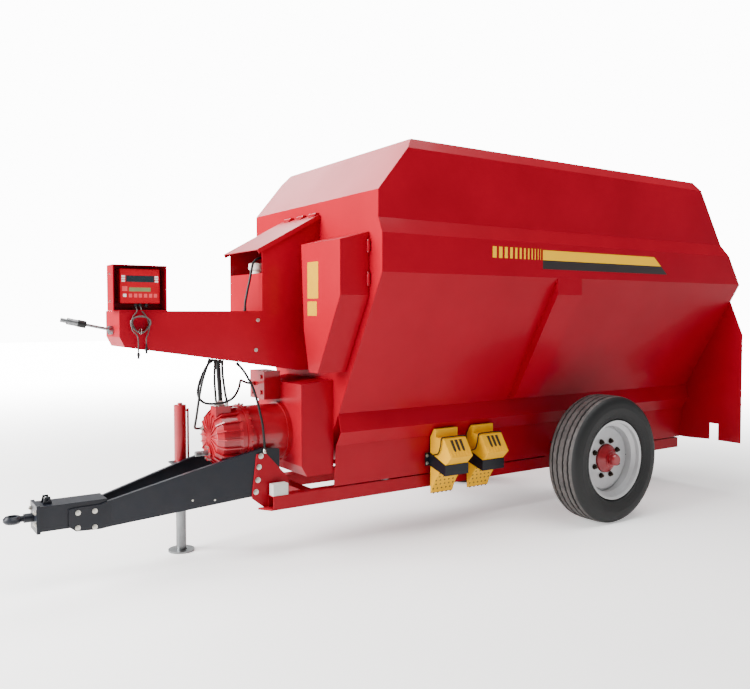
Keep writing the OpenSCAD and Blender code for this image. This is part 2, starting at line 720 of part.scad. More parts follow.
// Front housing over the hydraulics, and its hinged lid
housing_low = 1199;
housing_sill = 1840;
housing_top_rear = 2244;
housing_top_front = 2006;
housing_side = [
    [tub_front, housing_low], [2260, housing_low], [housing_front, housing_low + 44],
    [housing_front, housing_top_front], [tub_front, housing_top_rear]
];
roof_deg = atan2(housing_top_rear - housing_top_front, housing_front - tub_front);
module front_housing() color("#b3101c") place() difference() {
    across_y(-housing_right, arm_half) polygon(housing_side);
    across_y(-housing_right + cover_t, arm_half - cover_t) polygon([
        [tub_front - 1, housing_low + cover_t], [2260, housing_low + cover_t],
        [housing_front - cover_t, housing_low + 44 + cover_t], [housing_front - cover_t, far],
        [tub_front - 1, far]
    ]);
    box([housing_front - 50, -housing_right + cover_t, housing_sill],
        [housing_front + 50, arm_half - cover_t, far]);
}
// Local place on the sloping roof: X runs down it from the hinge, Z stands off it
hinge_r = 9;
pin_r = 5;
module on_roof() {
    translate([tub_front, 0, housing_top_rear]) rotate([0, roof_deg, 0]) children();
}
roof_len = (housing_front - tub_front) / cos(roof_deg);
lid_over = 45;
lid_side = 14;
lid_lip = 24;
lid_rear = 14;
roof_knuckle_y = [-300, -115, 60];
knuckle_w = 60;
lid_pin = [lid_rear + 2, 0, 14];
module housing_lid() color("#b3101c") place() on_roof() {
    difference() {
        box([lid_rear, -housing_right - lid_side, seam],
            [roof_len + lid_over, arm_half + lid_side, seam + cover_t]);
        for (y = roof_knuckle_y) box([0, y - 19, -1], [lid_rear + 24, y + knuckle_w + 19, 2 * cover_t]);
    }
    for (y = [-housing_right - lid_side, arm_half + lid_side - 4])
        box([lid_rear, y, -lid_lip], [roof_len + lid_over, y + 4, 1]);
    for (y = roof_knuckle_y) difference() {
        union() {
            translate(lid_pin) y_rod(y, y + knuckle_w, hinge_r);
            box([lid_rear, y, seam], [lid_rear + 26, y + knuckle_w, seam + 2 * cover_t]);
        }
        translate(lid_pin) y_rod(y - 1, y + knuckle_w + 1, pin_r + running);
    }
}
// Hinge pins in brackets on the front wall: two for the lid's knuckles, two for the side cover's
guard_left = 754;
guard_pin = [tub_front + 14, guard_left + 10];
guard_knuckle_z = [1760, 1960];
guard_bracket = 9.5;
module hinge_pins() color("#6d0a12") place() {
    on_roof() for (y = roof_knuckle_y) {
        translate(lid_pin) y_rod(y - 14, y + knuckle_w + 14, pin_r);
        for (end = [y - 14, y + knuckle_w + 2]) translate(lid_pin) y_rod(end, end + 12, hinge_r);
    }
    for (y = roof_knuckle_y, end = [y - 14, y + knuckle_w + 2])
        box([tub_front, end, housing_top_rear + 4], [tub_front + 14, end + 12, housing_top_rear + 14]);
    for (z = guard_knuckle_z) translate([guard_pin[0], guard_pin[1], 0]) {
        translate([0, 0, z - 12]) cylinder(r = pin_r + 1, h = knuckle_w + 24);
        for (end = [z - 12, z + knuckle_w + 1]) {
            translate([0, 0, end]) cylinder(r = guard_bracket, h = 11);
            box([-guard_pin[0] + tub_front, -guard_bracket, end], [0, guard_bracket, end + 11]);
        }
    }
}
// Side cover: a folded shell, hinged at its outer edge
guard_rear = tub_front + clear;
guard_loop = [
    [367, 1200], [480, 1200], [guard_left, 1690], [guard_left, 2200], [259, 2200], [302, 1470]
];
guard_top_rear = 2081;
guard_top_front = 2020;
module guard_cut(drop) {
    across_y(0, far) polygon([
        [guard_rear - 10, 0], [guard_front + 10, 0], [guard_front + 10, guard_top_front - drop],
        [guard_rear - 10, guard_top_rear - drop]
    ]);
}
module side_guard() color("#b3101c") place() difference() {
    union() {
        intersection() {
            along_x(guard_rear, guard_front) polygon(guard_loop);
            guard_cut(0);
        }
        for (z = guard_knuckle_z)
            translate([guard_pin[0], guard_pin[1], z]) cylinder(r = 11.5, h = knuckle_w);
    }
    intersection() {
        along_x(guard_rear - 1, guard_front - cover_t) polygon(inset(guard_loop, cover_t));
        guard_cut(cover_t);
    }
    for (z = guard_knuckle_z) translate([guard_pin[0], guard_pin[1], z - 1])
        cylinder(r = pin_r + 1 + running, h = knuckle_w + 2);
}
module oil_tank() color("#9c0e18") place() {
    box([2290, -housing_right + cover_t, housing_low + 60],
        [housing_front - cover_t, arm_half - cover_t - 60, housing_sill - 8]);
    translate([2400, -190, housing_sill - 8]) cylinder(r = 34, h = 40);
}

// Control arm, weigh indicator and lever
arm_rear = housing_front;
arm_side = [
    [arm_rear, housing_low + 44], [arm_front - 30, arm_top - arm_h], [arm_front, arm_top - arm_h + 60],
    [arm_front, arm_top], [arm_rear, arm_top]
];
module control_arm() color("#b3101c") place() difference() {
    across_y(-arm_half, arm_half) polygon(arm_side);
    across_y(-arm_half + cover_t, arm_half - cover_t)
        translate([-cover_t, 0]) polygon(inset(arm_side, cover_t));
    across_y(-arm_half + cover_t, arm_half - cover_t)
        polygon([[arm_rear - 1, housing_low + 60], [arm_rear + 40, housing_low + 64],
            [arm_rear + 40, arm_top - cover_t], [arm_rear - 1, arm_top - cover_t]]);
}
lever_z = arm_top - 114;
module control_lever() color("#3a3d3f") place() translate([arm_front, 0, lever_z]) {
    x_rod(0, 26, 26);
    rotate([0, -12, 0]) {
        x_rod(10, 215, 9);
        x_rod(160, 265, 20);
        x_rod(265, 300, 13);
    }
}
// Weigh indicator: a deep open shroud with the display unit set back in it
shroud_x = [3150, 3468];
shroud_top = arm_top + 270;
shroud_back = 20;
display_x = [3192, 3422];
display_z = [arm_top + 47, arm_top + 245];
display_set = 12;
module weigh_indicator() color("#b3101c") place() {
    difference() {
        box([shroud_x[0], shroud_back, arm_top], [shroud_x[1], arm_half + 4, shroud_top]);
        box([shroud_x[0] + cover_t, shroud_back + cover_t, arm_top + cover_t],
            [shroud_x[1] - cover_t, far, shroud_top - cover_t]);
    }
    box([display_x[0], shroud_back + cover_t - 1, display_z[0]],
        [display_x[1], arm_half - display_set, display_z[1]]);
}
// Hydraulic valve block on the gear cover's front, with its port bosses
valve_x = [gear_cover_front + seam, 2450];
valve_y = [-200, 20];
valve_z = [1000, 1190];
valve_ports = [[-130, 1100], [-30, 1150], [-30, 1045], [-160, 1040]];
module valve_block() color("#a80f1b") place() {
    box([valve_x[0], valve_y[0], valve_z[0]], [valve_x[1], valve_y[1], valve_z[1]]);
    for (port = valve_ports) translate([0, port[0], port[1]]) x_rod(valve_x[1] - 1, valve_x[1] + 10, 15);
}
module junction_box() color("#c9c9c4") place() {
    box([2425, rail_half - 60, rail_z + rail_h], [2530, rail_half - 4, rail_z + rail_h + 74]);
}

// Hoses and cables: round tubes through points that were chosen along their real routes
function heading(line, i) = let (
    a = line[max(i - 1, 0)], b = line[min(i + 1, len(line) - 1)]
) (b - a) / norm(b - a);
nearly_y = [0.05, 1, 0.03];
module tube(line, r, sides) {
    last = len(line) - 1;
    rings = [
        for (i = [0:last])
        let (ahead = heading(line, i), out = cross(ahead, nearly_y))
        let (u = out / norm(out), v = cross(ahead, u))
        for (k = [0:sides - 1]) line[i] + r * (u * cos(360 * k / sides) + v * sin(360 * k / sides))
    ];
    polyhedron(rings, concat(
        [[for (k = [0:sides - 1]) k]],
        [for (i = [0:last - 1], k = [0:sides - 1]) let (a = i * sides + k, b = i * sides + (k + 1) % sides)
            [a, a + sides, b]],
        [for (i = [0:last - 1], k = [0:sides - 1]) let (a = i * sides + k, b = i * sides + (k + 1) % sides)
            [b, a + sides, b + sides]],
        [[for (k = [sides - 1:-1:0]) last * sides + k]]
    ));
}
hose_r = 8;
return_r = 15;
hose_lines = [
    [[2831, 75, 1285.6], [2872, 75, 1246], [2912, 75, 1172], [2933, 75, 1097], [2925, 75, 1046],
        [2893, 92, 1014], [2829, 98, 1006], [2753, 98, 1014], [2694, 85, 1042], [2640, 35, 1090],
        [2606, -20, 1128], [2576, -75, 1140], [2540, -115, 1122], [2500, -130, 1101], [2460.4, -130, 1100]],
    [[2807, 48, 1285.8], [2812, 50, 1150], [2806, 52, 1040], [2802, 52, 984.4]],
    [[2687, 110, 1262.2], [2651, 130, 1215], [2623, 145, 1163], [2600, 170, 1099], [2585, 195, 1023],
        [2574, 215, 947], [2563, 229, 870], [2556, 231, 793], [2551, 231, 735], [2550, 231, 680.5]],
    [[2860, 95, 1292.6], [2908, 95, 1180], [2928, 95, 1085], [2930, 90, 985], [2922, 50, 905],
        [2895, -30, 850], [2856, -94, 828], [2830.4, -94, 828]],
    [[2778, 92, 1280.2], [2772, 88, 1180], [2752, 80, 1060], [2744, 78, 1030], [2744, 78, 984.4]],
    [[2420, 80, 1832.4], [2420, 80, 1860], [2455, 88, 1928], [2500, 95, 1944], [2542, 100, 1922],
        [2566, 100, 1872], [2586, 100, 1794], [2606, 100, 1716], [2621, 100, 1650], [2622, 100, 1593.4]]
];
return_line = [[2776, 18, 1278.6], [2768, 18, 1148], [2762, 20, 1040], [2762, 20, 984.4]];
module hoses() color("#1c1e20") place() {
    for (line = hose_lines) tube(line, hose_r, 8);
    tube(return_line, return_r, 10);
}
// The indicator's two leads leave its underside, hang in a tied hank on the arm and end in plugs
lead_r = 4;
lead_lines = [
    [[3300, 124, 1639.5], [3300, 124, 1630], [3300, 136, 1616], [3302, 152, 1606], [3306, 160, 1590],
        [3308, 162, 1570.4]],
    [[3330, 162, 1455.4], [3332, 162, 1425], [3336, 162, 1395], [3335, 162, 1365]],
    [[3292, 162, 1455.4], [3288, 162, 1430], [3284, 162, 1412], [3282, 162, 1394]]
];
hank = [
    [3250, 1515], [3268, 1560], [3290, 1570], [3345, 1570],
    [3384, 1540], [3388, 1500], [3350, 1456.5], [3280, 1456.5]
];
module indicator_lead() color("#1c1e20") place() {
    for (line = lead_lines) tube(line, lead_r, 8);
    across_y(arm_half + seam, arm_half + 27) polygon(reversed(hank));
}
plug_r = 10;
plug_len = 58;
module lead_plugs() color("#2a2c2e") place() for (tip = [[3335, 1365], [3282, 1394]])
    translate([tip[0], 162, tip[1] - plug_len]) cylinder(r = plug_r, h = plug_len - seam, $fn = 24);

// Wheel chocks: each wedge stands on its tip, with its base plate against the skirt
chock_x = [768, 1112];
chock_w = 198;
chock_low = 287;
chock_len = 469;
chock_y = skirt_knee_half + 8;
chock_grip_r = 480;
// Side view of a chock, as [distance out from its base, height above its tip]
chock_side = [
    [0, 0], [8, 0], [169, 223], [234, 289], [154, 411], [64, 411], [64, chock_len], [40, chock_len], [0, 406]
];
module wheel_chocks() color("#e6b400") place() for (x = chock_x) {
    along_x(x, x + chock_w) translate([chock_y, chock_low]) difference() {
        polygon(chock_side);
        // The face that grips the tyre is hollow
        translate([461.5, -157.5]) circle(r = chock_grip_r, $fn = 96);
    }
}
// Black sheet trays: a back plate with a bolted tab, two side cheeks and a front strap
tray_t = 6;
tray_side = [
    [-8, 201], [0, 201], [174, 153], [174 + tray_t, 153], [174 + tray_t, 228], [174, 228], [0, 294], [-8, 294]
];
tray_tab = 42;
module chock_tray(x) {
    for (side_x = [x - tray_t, x + chock_w + seam]) along_x(side_x, side_x + tray_t - seam)
        translate([chock_y, chock_low]) polygon(tray_side);
    box([x - 1, chock_y + 174, chock_low + 153], [x + chock_w + 1, chock_y + 174 + tray_t, chock_low + 228]);
    box([x - 1, chock_y - 8, chock_low + 201], [x + chock_w + 1, chock_y - seam, skirt_knee_z - 3]);
    box([x + chock_w + tray_t - 1, chock_y - 8, chock_low + 201],
        [x + chock_w + tray_tab, chock_y - 2, chock_low + 294]);
}
module chock_holders() color("#202325") place() for (x = chock_x) chock_tray(x);

// Parking jack on the right drawbar plate
jack_y = -235;
jack_low = 430;
leg_r = jack_r - 7;
leg_top = jack_top - 60;
pipe_r = 7;
module jack_tube() color("#a80f1b") place() translate([jack_x, jack_y, 0]) {
    difference() {
        translate([0, 0, jack_low]) cylinder(r = jack_r, h = jack_top - jack_low);
        translate([0, 0, jack_low - 1]) cylinder(r = leg_r + seam, h = jack_top - jack_low - 7);
    }
    translate([0, 0, jack_top - 1]) cylinder(r = 16, h = 15);
    translate([-jack_r - 14, 0, jack_low + 60]) cylinder(r = pipe_r, h = jack_top - jack_low - 85);
    for (z = [jack_low + 70, jack_top - 45])
        box([-jack_r - 14, -pipe_r, z], [-jack_r + 4, pipe_r, z + 14]);
}
module jack_leg() color("#a7abad") place() translate([jack_x, jack_y, 0]) {
    difference() {
        translate([0, 0, 12]) cylinder(r = leg_r, h = 560);
        translate([0, 0, 20]) cylinder(r = leg_r - 6, h = 800);
    }
    cylinder(r = 85, h = 12);
}
jack_plate_z = [470, 590];
jack_plate_t = 12;
module jack_bracket() color("#222c30") place() difference() {
    for (z = jack_plate_z) box([jack_x - 72, jack_y - 30, z], [jack_x + 72, 0, z + jack_plate_t]);
    translate([jack_x, jack_y, 0]) cylinder(r = jack_r + seam, h = far);
    translate([jack_x - jack_r - 14, jack_y, 0]) cylinder(r = pipe_r + seam, h = far);
    mirror([0, 1, 0]) up_z(0, far) polygon(concat(beside(drawbar_plan, seam), [[far, 0], [0, 0]]));
}

// Discharge door on the right wall
door_t = 8;
door_lap = 40;
door_mid = door_x + door_w / 2;
ram_off = 55;
ram_r = 32;
rod_r = 12;
module discharge_door() color("#9c0e18") place() on_right_wall() {
    box([door_x - door_lap, -clear - door_t, -12], [door_x + door_w + door_lap, -clear, door_h + 30]);
    box([door_mid - 6, -ram_off - 18, door_h - 50], [door_mid + 6, -clear - door_t, door_h + 20]);
}
module door_rod() color("#c4c8ca") place() on_right_wall()
    translate([door_mid, -ram_off, door_h + 20]) cylinder(r = rod_r, h = 340);
module door_guides() color("#8f0d17") place() on_right_wall() for (end = [0, 1])
    translate([end ? door_x + door_w : door_x, 0, 0]) mirror([end, 0, 0])
        linear_extrude(2 * door_h + 60) polygon([
            [-door_lap - 30, -seam], [-door_lap + 18, -seam], [-door_lap + 18, -clear + seam],
            [-door_lap - seam, -clear + seam], [-door_lap - seam, -clear - door_t - seam],
            [-door_lap + 18, -clear - door_t - seam], [-door_lap + 18, -clear - door_t - 8],
            [-door_lap - 30, -clear - door_t - 8]
        ]);
module door_cylinder() color("#2b3134") place() on_right_wall() difference() {
    union() {
        translate([door_mid, -ram_off, door_h + 340]) cylinder(r = ram_r, h = 340);
        for (z = [door_h + 370, door_h + 640])
            box([door_mid - 25, -ram_off, z], [door_mid + 25, -seam, z + 24]);
    }
    translate([door_mid, -ram_off, door_h + 339]) cylinder(r = rod_r + seam, h = 326);
}
chute_reach = 310;
chute_drop = 170;
chute_z = skirt_top_z + 6;
module discharge_chute() color("#9c0e18") place() {
    inner = wall_half(chute_z) + seam;
    x0 = door_x - door_lap - 44;
    x1 = door_x + door_w + door_lap + 44;
    along_x(x0, x1) polygon([
        [-inner, chute_z], [-inner - chute_reach, chute_z - chute_drop],
        [-inner - chute_reach, chute_z - chute_drop - 6], [-inner, chute_z - 6]
    ]);
    for (x = [x0, x1 - 5]) along_x(x, x + 5) polygon([
        [-inner, chute_z - 3], [-wall_half(chute_z + 70) - seam, chute_z + 70],
        [-inner - chute_reach, chute_z - chute_drop + 50], [-inner - chute_reach, chute_z - chute_drop - 3]
    ]);
}
module tail_lamps() color("#8a1418") place() both_sides()
    box([-tub_rear - wall_t - 45, 760, 640], [-tub_rear - wall_t, 880, 740]);

trough();
tub_side_left();
tub_side_right();
tub_front_wall();
tub_rear_wall();
extension_left();
extension_right();
extension_front();
extension_rear();
side_ribs();
skirts();
tub_feet();
load_cells();
chassis_rails();
cross_members();
hitch_plates();
drawbar_plates();
drawbar_tongue();
tow_eye();
axle();
tyre_left();
tyre_right();
rim_left();
rim_right();
hub_left();
hub_right();
auger_shaft();
auger_flight();
auger_knives();
rear_bearing();
gear_cover();
planetary_drive();
input_gearcase();
input_shaft();
front_housing();
housing_lid();
hinge_pins();
side_guard();
oil_tank();
control_arm();
control_lever();
weigh_indicator();
valve_block();
junction_box();
hoses();
indicator_lead();
lead_plugs();
wheel_chocks();
chock_holders();
jack_tube();
jack_leg();
jack_bracket();
discharge_door();
door_rod();
door_guides();
door_cylinder();
discharge_chute();
tail_lamps();
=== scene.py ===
# %% [markdown]
# # A feed mixer wagon
# This lesson dresses the CAD model of a trailed feed mixer wagon: red sheet steel, a blue-black
# drawbar, road tyres, hoses, a weigh indicator and yellow wheel chocks. The CAD model is loaded as
# a fixed frame. It gives every size, so each new piece is put where the drawing says, with no fitting.

# %% Load the frame
import json
import math
import bpy
import bmesh
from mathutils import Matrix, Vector


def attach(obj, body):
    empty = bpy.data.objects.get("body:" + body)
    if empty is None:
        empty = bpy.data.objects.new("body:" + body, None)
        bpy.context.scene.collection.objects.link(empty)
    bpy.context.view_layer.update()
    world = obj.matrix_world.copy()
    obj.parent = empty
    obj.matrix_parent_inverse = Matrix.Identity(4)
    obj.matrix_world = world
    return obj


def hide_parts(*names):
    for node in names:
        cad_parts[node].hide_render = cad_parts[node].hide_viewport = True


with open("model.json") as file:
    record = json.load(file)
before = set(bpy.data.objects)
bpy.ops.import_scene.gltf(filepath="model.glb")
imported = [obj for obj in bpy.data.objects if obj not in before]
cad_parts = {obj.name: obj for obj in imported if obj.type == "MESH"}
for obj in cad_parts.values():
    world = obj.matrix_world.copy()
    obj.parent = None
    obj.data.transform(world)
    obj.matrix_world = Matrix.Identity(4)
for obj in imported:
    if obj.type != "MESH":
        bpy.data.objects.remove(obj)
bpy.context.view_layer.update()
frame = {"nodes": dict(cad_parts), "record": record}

# %% [markdown]
# The drawing measures in millimetres from the axle, and the model's origin lies below the middle of
# the wagon. One function takes a point of the drawing into the scene, so that the numbers below can
# be compared with the drawing.

# %% From the drawing to the scene
AXLE_X = -1.151
MM = 0.001


def at(x, y, z):
    return Vector((AXLE_X + x * MM, y * MM, z * MM))


def linear(hex_colour):
    """A colour as a designer writes it, #rrggbb, as the linear values that the shader works with."""
    channels = [int(hex_colour[i:i + 2], 16) / 255 for i in (1, 3, 5)]
    curve = [c / 12.92 if c <= 0.04045 else ((c + 0.055) / 1.055) ** 2.4 for c in channels]
    return (*curve, 1.0)


def add(tree, kind, settings=None, inputs=None, links=None):
    """Adds one node, sets its properties and input values, and links sockets into it."""
    node = tree.nodes.new(kind)
    for name, value in (settings or {}).items():
        setattr(node, name, value)
    for name, value in (inputs or {}).items():
        node.inputs[name].default_value = value
    for name, socket in (links or {}).items():
        tree.links.new(socket, node.inputs[name])
    return node


# %% [markdown]
# ## The camera
# The camera stands where the photographer stood: ahead of the wagon on its left, at eye height. Its
# place and lens were solved from the straight edges in the photograph. The wagon's edges then fall on
# the photograph's edges, and proportions can be compared directly.

# %% Camera
CAMERA_PLACE = (3.545, 4.690, 1.581)
CAMERA_AZIMUTH = math.radians(146.08)
CAMERA_PITCH = math.radians(-2.35)
LENS_MM = 36.9
camera_data = bpy.data.cameras.new("photographer")
camera = bpy.data.objects.new("photographer", camera_data)
bpy.context.scene.collection.objects.link(camera)
bpy.context.scene.camera = camera
camera_data.sensor_width = 36.0
camera_data.lens = LENS_MM
camera.location = CAMERA_PLACE
level = Vector((-math.sin(CAMERA_AZIMUTH), math.cos(CAMERA_AZIMUTH), 0.0))
forward = level * math.cos(CAMERA_PITCH) + Vector((0.0, 0.0, math.sin(CAMERA_PITCH)))
camera.rotation_euler = forward.to_track_quat("-Z", "Y").to_euler()
print("the lens is", LENS_MM, "mm on a sensor", camera_data.sensor_width, "mm wide")

# %% [markdown]
# ## Materials
# Nearly all of the wagon is red gloss enamel on folded sheet steel. What gives it away as real is not
# the red but the coat on it: a slight orange peel, sheets that are never quite flat, and dust that
# gathers low down. Each finish is one Principled shader. Noise on Object coordinates moves its colour
# and roughness a little, and bumps its surface at the scale of the real texture.

# %% One recipe for every finish
# A Mix node keeps a pair of inputs for each kind of data. These are the places of its colour sockets.
MIX_A = 6
MIX_B = 7
MIX_RESULT = 2
# Dust is thickest 0.25 m above the ground and ends at 1.1 m, and its patches are about 110 mm across.
DUST_TOP_M = 1.1
DUST_LOW_M = 0.25
DUST_PATCHES_PER_M = 9.0
DUST_COLOUR = "#8f8072"
# The clouds move the roughness between these shares of its value.
ROUGHNESS_SHARES = (0.85, 1.2)


def blank_material(name):
    material = bpy.data.materials.new(name)
    material.use_nodes = True
    material.node_tree.nodes.clear()
    return material


def dusted(tree, place, colour_out, rough_out, amount):
    """Pale dust that thickens towards the ground and lies in soft patches."""
    apart = add(tree, "ShaderNodeSeparateXYZ", links={"Vector": place})
    low = add(tree, "ShaderNodeMapRange", inputs={"From Min": DUST_TOP_M, "From Max": DUST_LOW_M},
              links={"Value": apart.outputs["Z"]})
    patch = add(tree, "ShaderNodeTexNoise", inputs={"Scale": DUST_PATCHES_PER_M, "Detail": 8.0},
                links={"Vector": place})
    both = add(tree, "ShaderNodeMath", {"operation": "MULTIPLY"},
               links={0: low.outputs["Result"], 1: patch.outputs["Fac"]})
    share = add(tree, "ShaderNodeMath", {"operation": "MULTIPLY"}, {1: amount},
                {0: both.outputs["Value"]}).outputs["Value"]
    film = add(tree, "ShaderNodeMix", {"data_type": "RGBA"}, {MIX_B: linear(DUST_COLOUR)},
               {"Factor": share, MIX_A: colour_out})
    rougher = add(tree, "ShaderNodeMath", {"operation": "ADD"}, links={0: rough_out, 1: share})
    return film.outputs[MIX_RESULT], rougher.outputs["Value"]


def finish(name, colour, second, roughness, metallic=0.0, coat=0.0, coat_roughness=0.1, cloud_mm=600,
           grain_mm=4.0, grain_depth_mm=0.05, wave_mm=0.0, wave_depth_mm=0.0, dust=0.0, mottle=0.5,
           specular=0.5):
    """Two close colours in soft clouds, a fine grain, long waves where it is sheet, and dust low down."""
    material = blank_material(name)
    tree = material.node_tree
    place = add(tree, "ShaderNodeTexCoord").outputs["Object"]
    cloud = add(tree, "ShaderNodeTexNoise",
                inputs={"Scale": 1000 / cloud_mm, "Detail": 6.0, "Roughness": 0.6},
                links={"Vector": place}).outputs["Fac"]
    spread = add(tree, "ShaderNodeMapRange",
                 inputs={"From Min": 0.5 - mottle / 2, "From Max": 0.5 + mottle / 2},
                 links={"Value": cloud})
    paint = add(tree, "ShaderNodeMix", {"data_type": "RGBA"},
                {MIX_A: linear(colour), MIX_B: linear(second)}, {"Factor": spread.outputs["Result"]})
    least, most = (min(1.0, roughness * share) for share in ROUGHNESS_SHARES)
    matt = add(tree, "ShaderNodeMapRange", inputs={"To Min": least, "To Max": most},
               links={"Value": cloud})
    colour_out = paint.outputs[MIX_RESULT]
    rough_out = matt.outputs["Result"]
    if dust:
        colour_out, rough_out = dusted(tree, place, colour_out, rough_out, dust)
    grain = add(tree, "ShaderNodeTexNoise", inputs={"Scale": 1000 / grain_mm, "Detail": 3.0},
                links={"Vector": place})
    skin = add(tree, "ShaderNodeBump", inputs={"Strength": 1.0, "Distance": grain_depth_mm * MM},
               links={"Height": grain.outputs["Fac"]})
    if wave_mm:
        wave = add(tree, "ShaderNodeTexNoise", inputs={"Scale": 1000 / wave_mm, "Detail": 1.0},
                   links={"Vector": place})
        skin = add(tree, "ShaderNodeBump", inputs={"Strength": 1.0, "Distance": wave_depth_mm * MM},
                   links={"Height": wave.outputs["Fac"], "Normal": skin.outputs["Normal"]})
    shader = add(tree, "ShaderNodeBsdfPrincipled",
                 inputs={"Metallic": metallic, "Coat Weight": coat, "Coat Roughness": coat_roughness,
                         "Specular IOR Level": specular},
                 links={"Base Color": colour_out, "Roughness": rough_out, "Normal": skin.outputs["Normal"]})
    add(tree, "ShaderNodeOutputMaterial", links={"Surface": shader.outputs["BSDF"]})
    return material


# %% Paints
# Gloss enamel, rolled and sprayed on sheet: a deep red with a clear, slightly peeled coat.
sheet_red = finish("red enamel on folded sheet", "#9a001c", "#8a0017", 0.36, coat=0.06, coat_roughness=0.08,
                   wave_mm=420, wave_depth_mm=1.6, grain_mm=5.0, grain_depth_mm=0.035, dust=0.05,
                   specular=0.08)
# The same enamel on castings, over a coarser skin that glints.
cast_red = finish("red enamel on castings", "#98001a", "#820012", 0.28, coat=0.55, coat_roughness=0.06,
                  cloud_mm=160, grain_mm=4.0, grain_depth_mm=0.16, dust=0.08, specular=0.25)
# Satin blue-black enamel on thick plate: the plate is hardly wavy, so it mirrors evenly.
drawbar_black = finish("blue black enamel on plate", "#030914", "#07101c", 0.34, coat=0.08,
                       coat_roughness=0.15, cloud_mm=250, grain_mm=4.0, grain_depth_mm=0.06, wave_mm=300,
                       wave_depth_mm=0.5, dust=0.05, specular=0.2)
# Silver wheel enamel holds a little aluminium flake, and road dust settles in it.
wheel_silver = finish("silver wheel enamel", "#c4c6c9", "#b4b7ba", 0.3, metallic=0.25, coat=0.3,
                      cloud_mm=200, grain_mm=2.5, grain_depth_mm=0.05, dust=0.35)

# %% Bare metals
# Steel polished by feed and sliding: grey, with blotches where it has worn unevenly.
bare_steel = finish("worn bare steel", "#8d8f90", "#6f7173", 0.36, metallic=1.0, cloud_mm=90, grain_mm=1.5,
                    grain_depth_mm=0.08, mottle=0.7)
# Bolts come zinc plated and stay pale. Wheel nuts are phosphated, dark and brownish.
zinc = finish("zinc plated steel", "#c9c6bd", "#b3b0a8", 0.3, metallic=1.0, cloud_mm=30, grain_mm=1.0,
              grain_depth_mm=0.03)
dark_nut = finish("phosphated steel nut", "#4a4038", "#332b26", 0.45, metallic=1.0, cloud_mm=20,
                  grain_mm=1.2, grain_depth_mm=0.05)

# %% Rubber and plastics
# Extruded hose rubber is black with a dull sheen. The leads have a grey-brown vinyl sheath.
hose_rubber = finish("black hose rubber", "#0b0b0c", "#101011", 0.42, cloud_mm=40, grain_mm=1.5,
                     grain_depth_mm=0.06, specular=0.3)
cable_grey = finish("grey cable sheath", "#4b4542", "#3a3533", 0.4, cloud_mm=25, grain_mm=1.0,
                    grain_depth_mm=0.03)
moulded_black = finish("black moulded polymer", "#0e0f10", "#141516", 0.4, cloud_mm=60, grain_mm=1.2,
                       grain_depth_mm=0.05, specular=0.3)
# Blown polyethylene keeps a waxy, faintly grained skin.
chock_yellow = finish("yellow moulded polyethylene", "#f0b400", "#e4a600", 0.42, cloud_mm=120, grain_mm=2.0,
                      grain_depth_mm=0.06, dust=0.05, specular=0.08)
box_grey = finish("light grey moulded ABS", "#c6c5c0", "#bcbbb6", 0.4, cloud_mm=60, grain_mm=1.0,
                  grain_depth_mm=0.04)
pale_cap = finish("pale filler cap", "#d8cfc4", "#c9bfb3", 0.4, cloud_mm=30, grain_mm=1.0,
                  grain_depth_mm=0.05)
lamp_red = finish("red acrylic lens", "#a80d10", "#9a0a0c", 0.12, coat=0.6, cloud_mm=60, grain_mm=6.0,
                  grain_depth_mm=0.05)

# %% Films and the indicator's front
# Vinyl film is smooth, so its grain is hardly there. The labels face the light, so their yellow is painted
# deeper than the film is: painted shade.
stripe_yellow = finish("yellow vinyl film", "#f5bc00", "#efb400", 0.35, cloud_mm=300, grain_mm=6.0,
                       grain_depth_mm=0.02, specular=0.08)
label_yellow_painted_shade = finish("yellow vinyl film painted deeper as shade", "#b98800", "#b28100", 0.6, cloud_mm=60, grain_mm=4.0,
                      grain_depth_mm=0.02, specular=0.04)
stripe_black = finish("black vinyl film", "#1d1517", "#231a1c", 0.32, cloud_mm=300, grain_mm=6.0,
                      grain_depth_mm=0.02)
panel_red = finish("printed red overlay", "#b4001c", "#a80019", 0.35, cloud_mm=80, grain_mm=1.0,
                   grain_depth_mm=0.02, specular=0.12)
key_white = finish("white membrane key", "#e9e6e2", "#dddad6", 0.4, cloud_mm=20, grain_mm=0.8,
                   grain_depth_mm=0.03)
key_red = finish("red membrane key", "#e0464c", "#d83c44", 0.35, cloud_mm=20, grain_mm=0.8,
                 grain_depth_mm=0.03)
# Display windows are clear acrylic over a dark or a green ground: a sharp coat and nearly no texture.
display_glass = finish("dark display window", "#15242a", "#1b2d33", 0.08, coat=0.8, coat_roughness=0.02,
                       cloud_mm=50, grain_mm=8.0, grain_depth_mm=0.005)
display_green = finish("green display window", "#7d8a5a", "#727f50", 0.12, coat=0.8, coat_roughness=0.02,
                       cloud_mm=40, grain_mm=8.0, grain_depth_mm=0.005)


# %% [markdown]
# Rubber is the one finish that follows its piece: fine rings run round a tyre's sidewall, and its
# tread is cut by sipes. Both are drawn from the distance to the wheel's axis, so the pattern needs no
# image and turns with the wheel. The rings are 6 mm apart, about as on a real lorry tyre. The road wears
# the ribs pale and dusty, while the sidewalls and the floors of the grooves stay black.

# %% Tyre rubber
TYRE_R = 479
RING_PITCH_M = 0.006
RINGS_FADE_M = (0.352, 0.338)
TREAD_BEGINS_M = (0.4695, 0.4735)
# Cells of the patterns for each metre: sipes about 10 mm apart, and a moulded grain under 2 mm
SIPES_PER_M = 95.0
GRAIN_PER_M = 600.0
BLACK_RUBBER = "#131415"
WORN_RUBBER = "#625e5c"


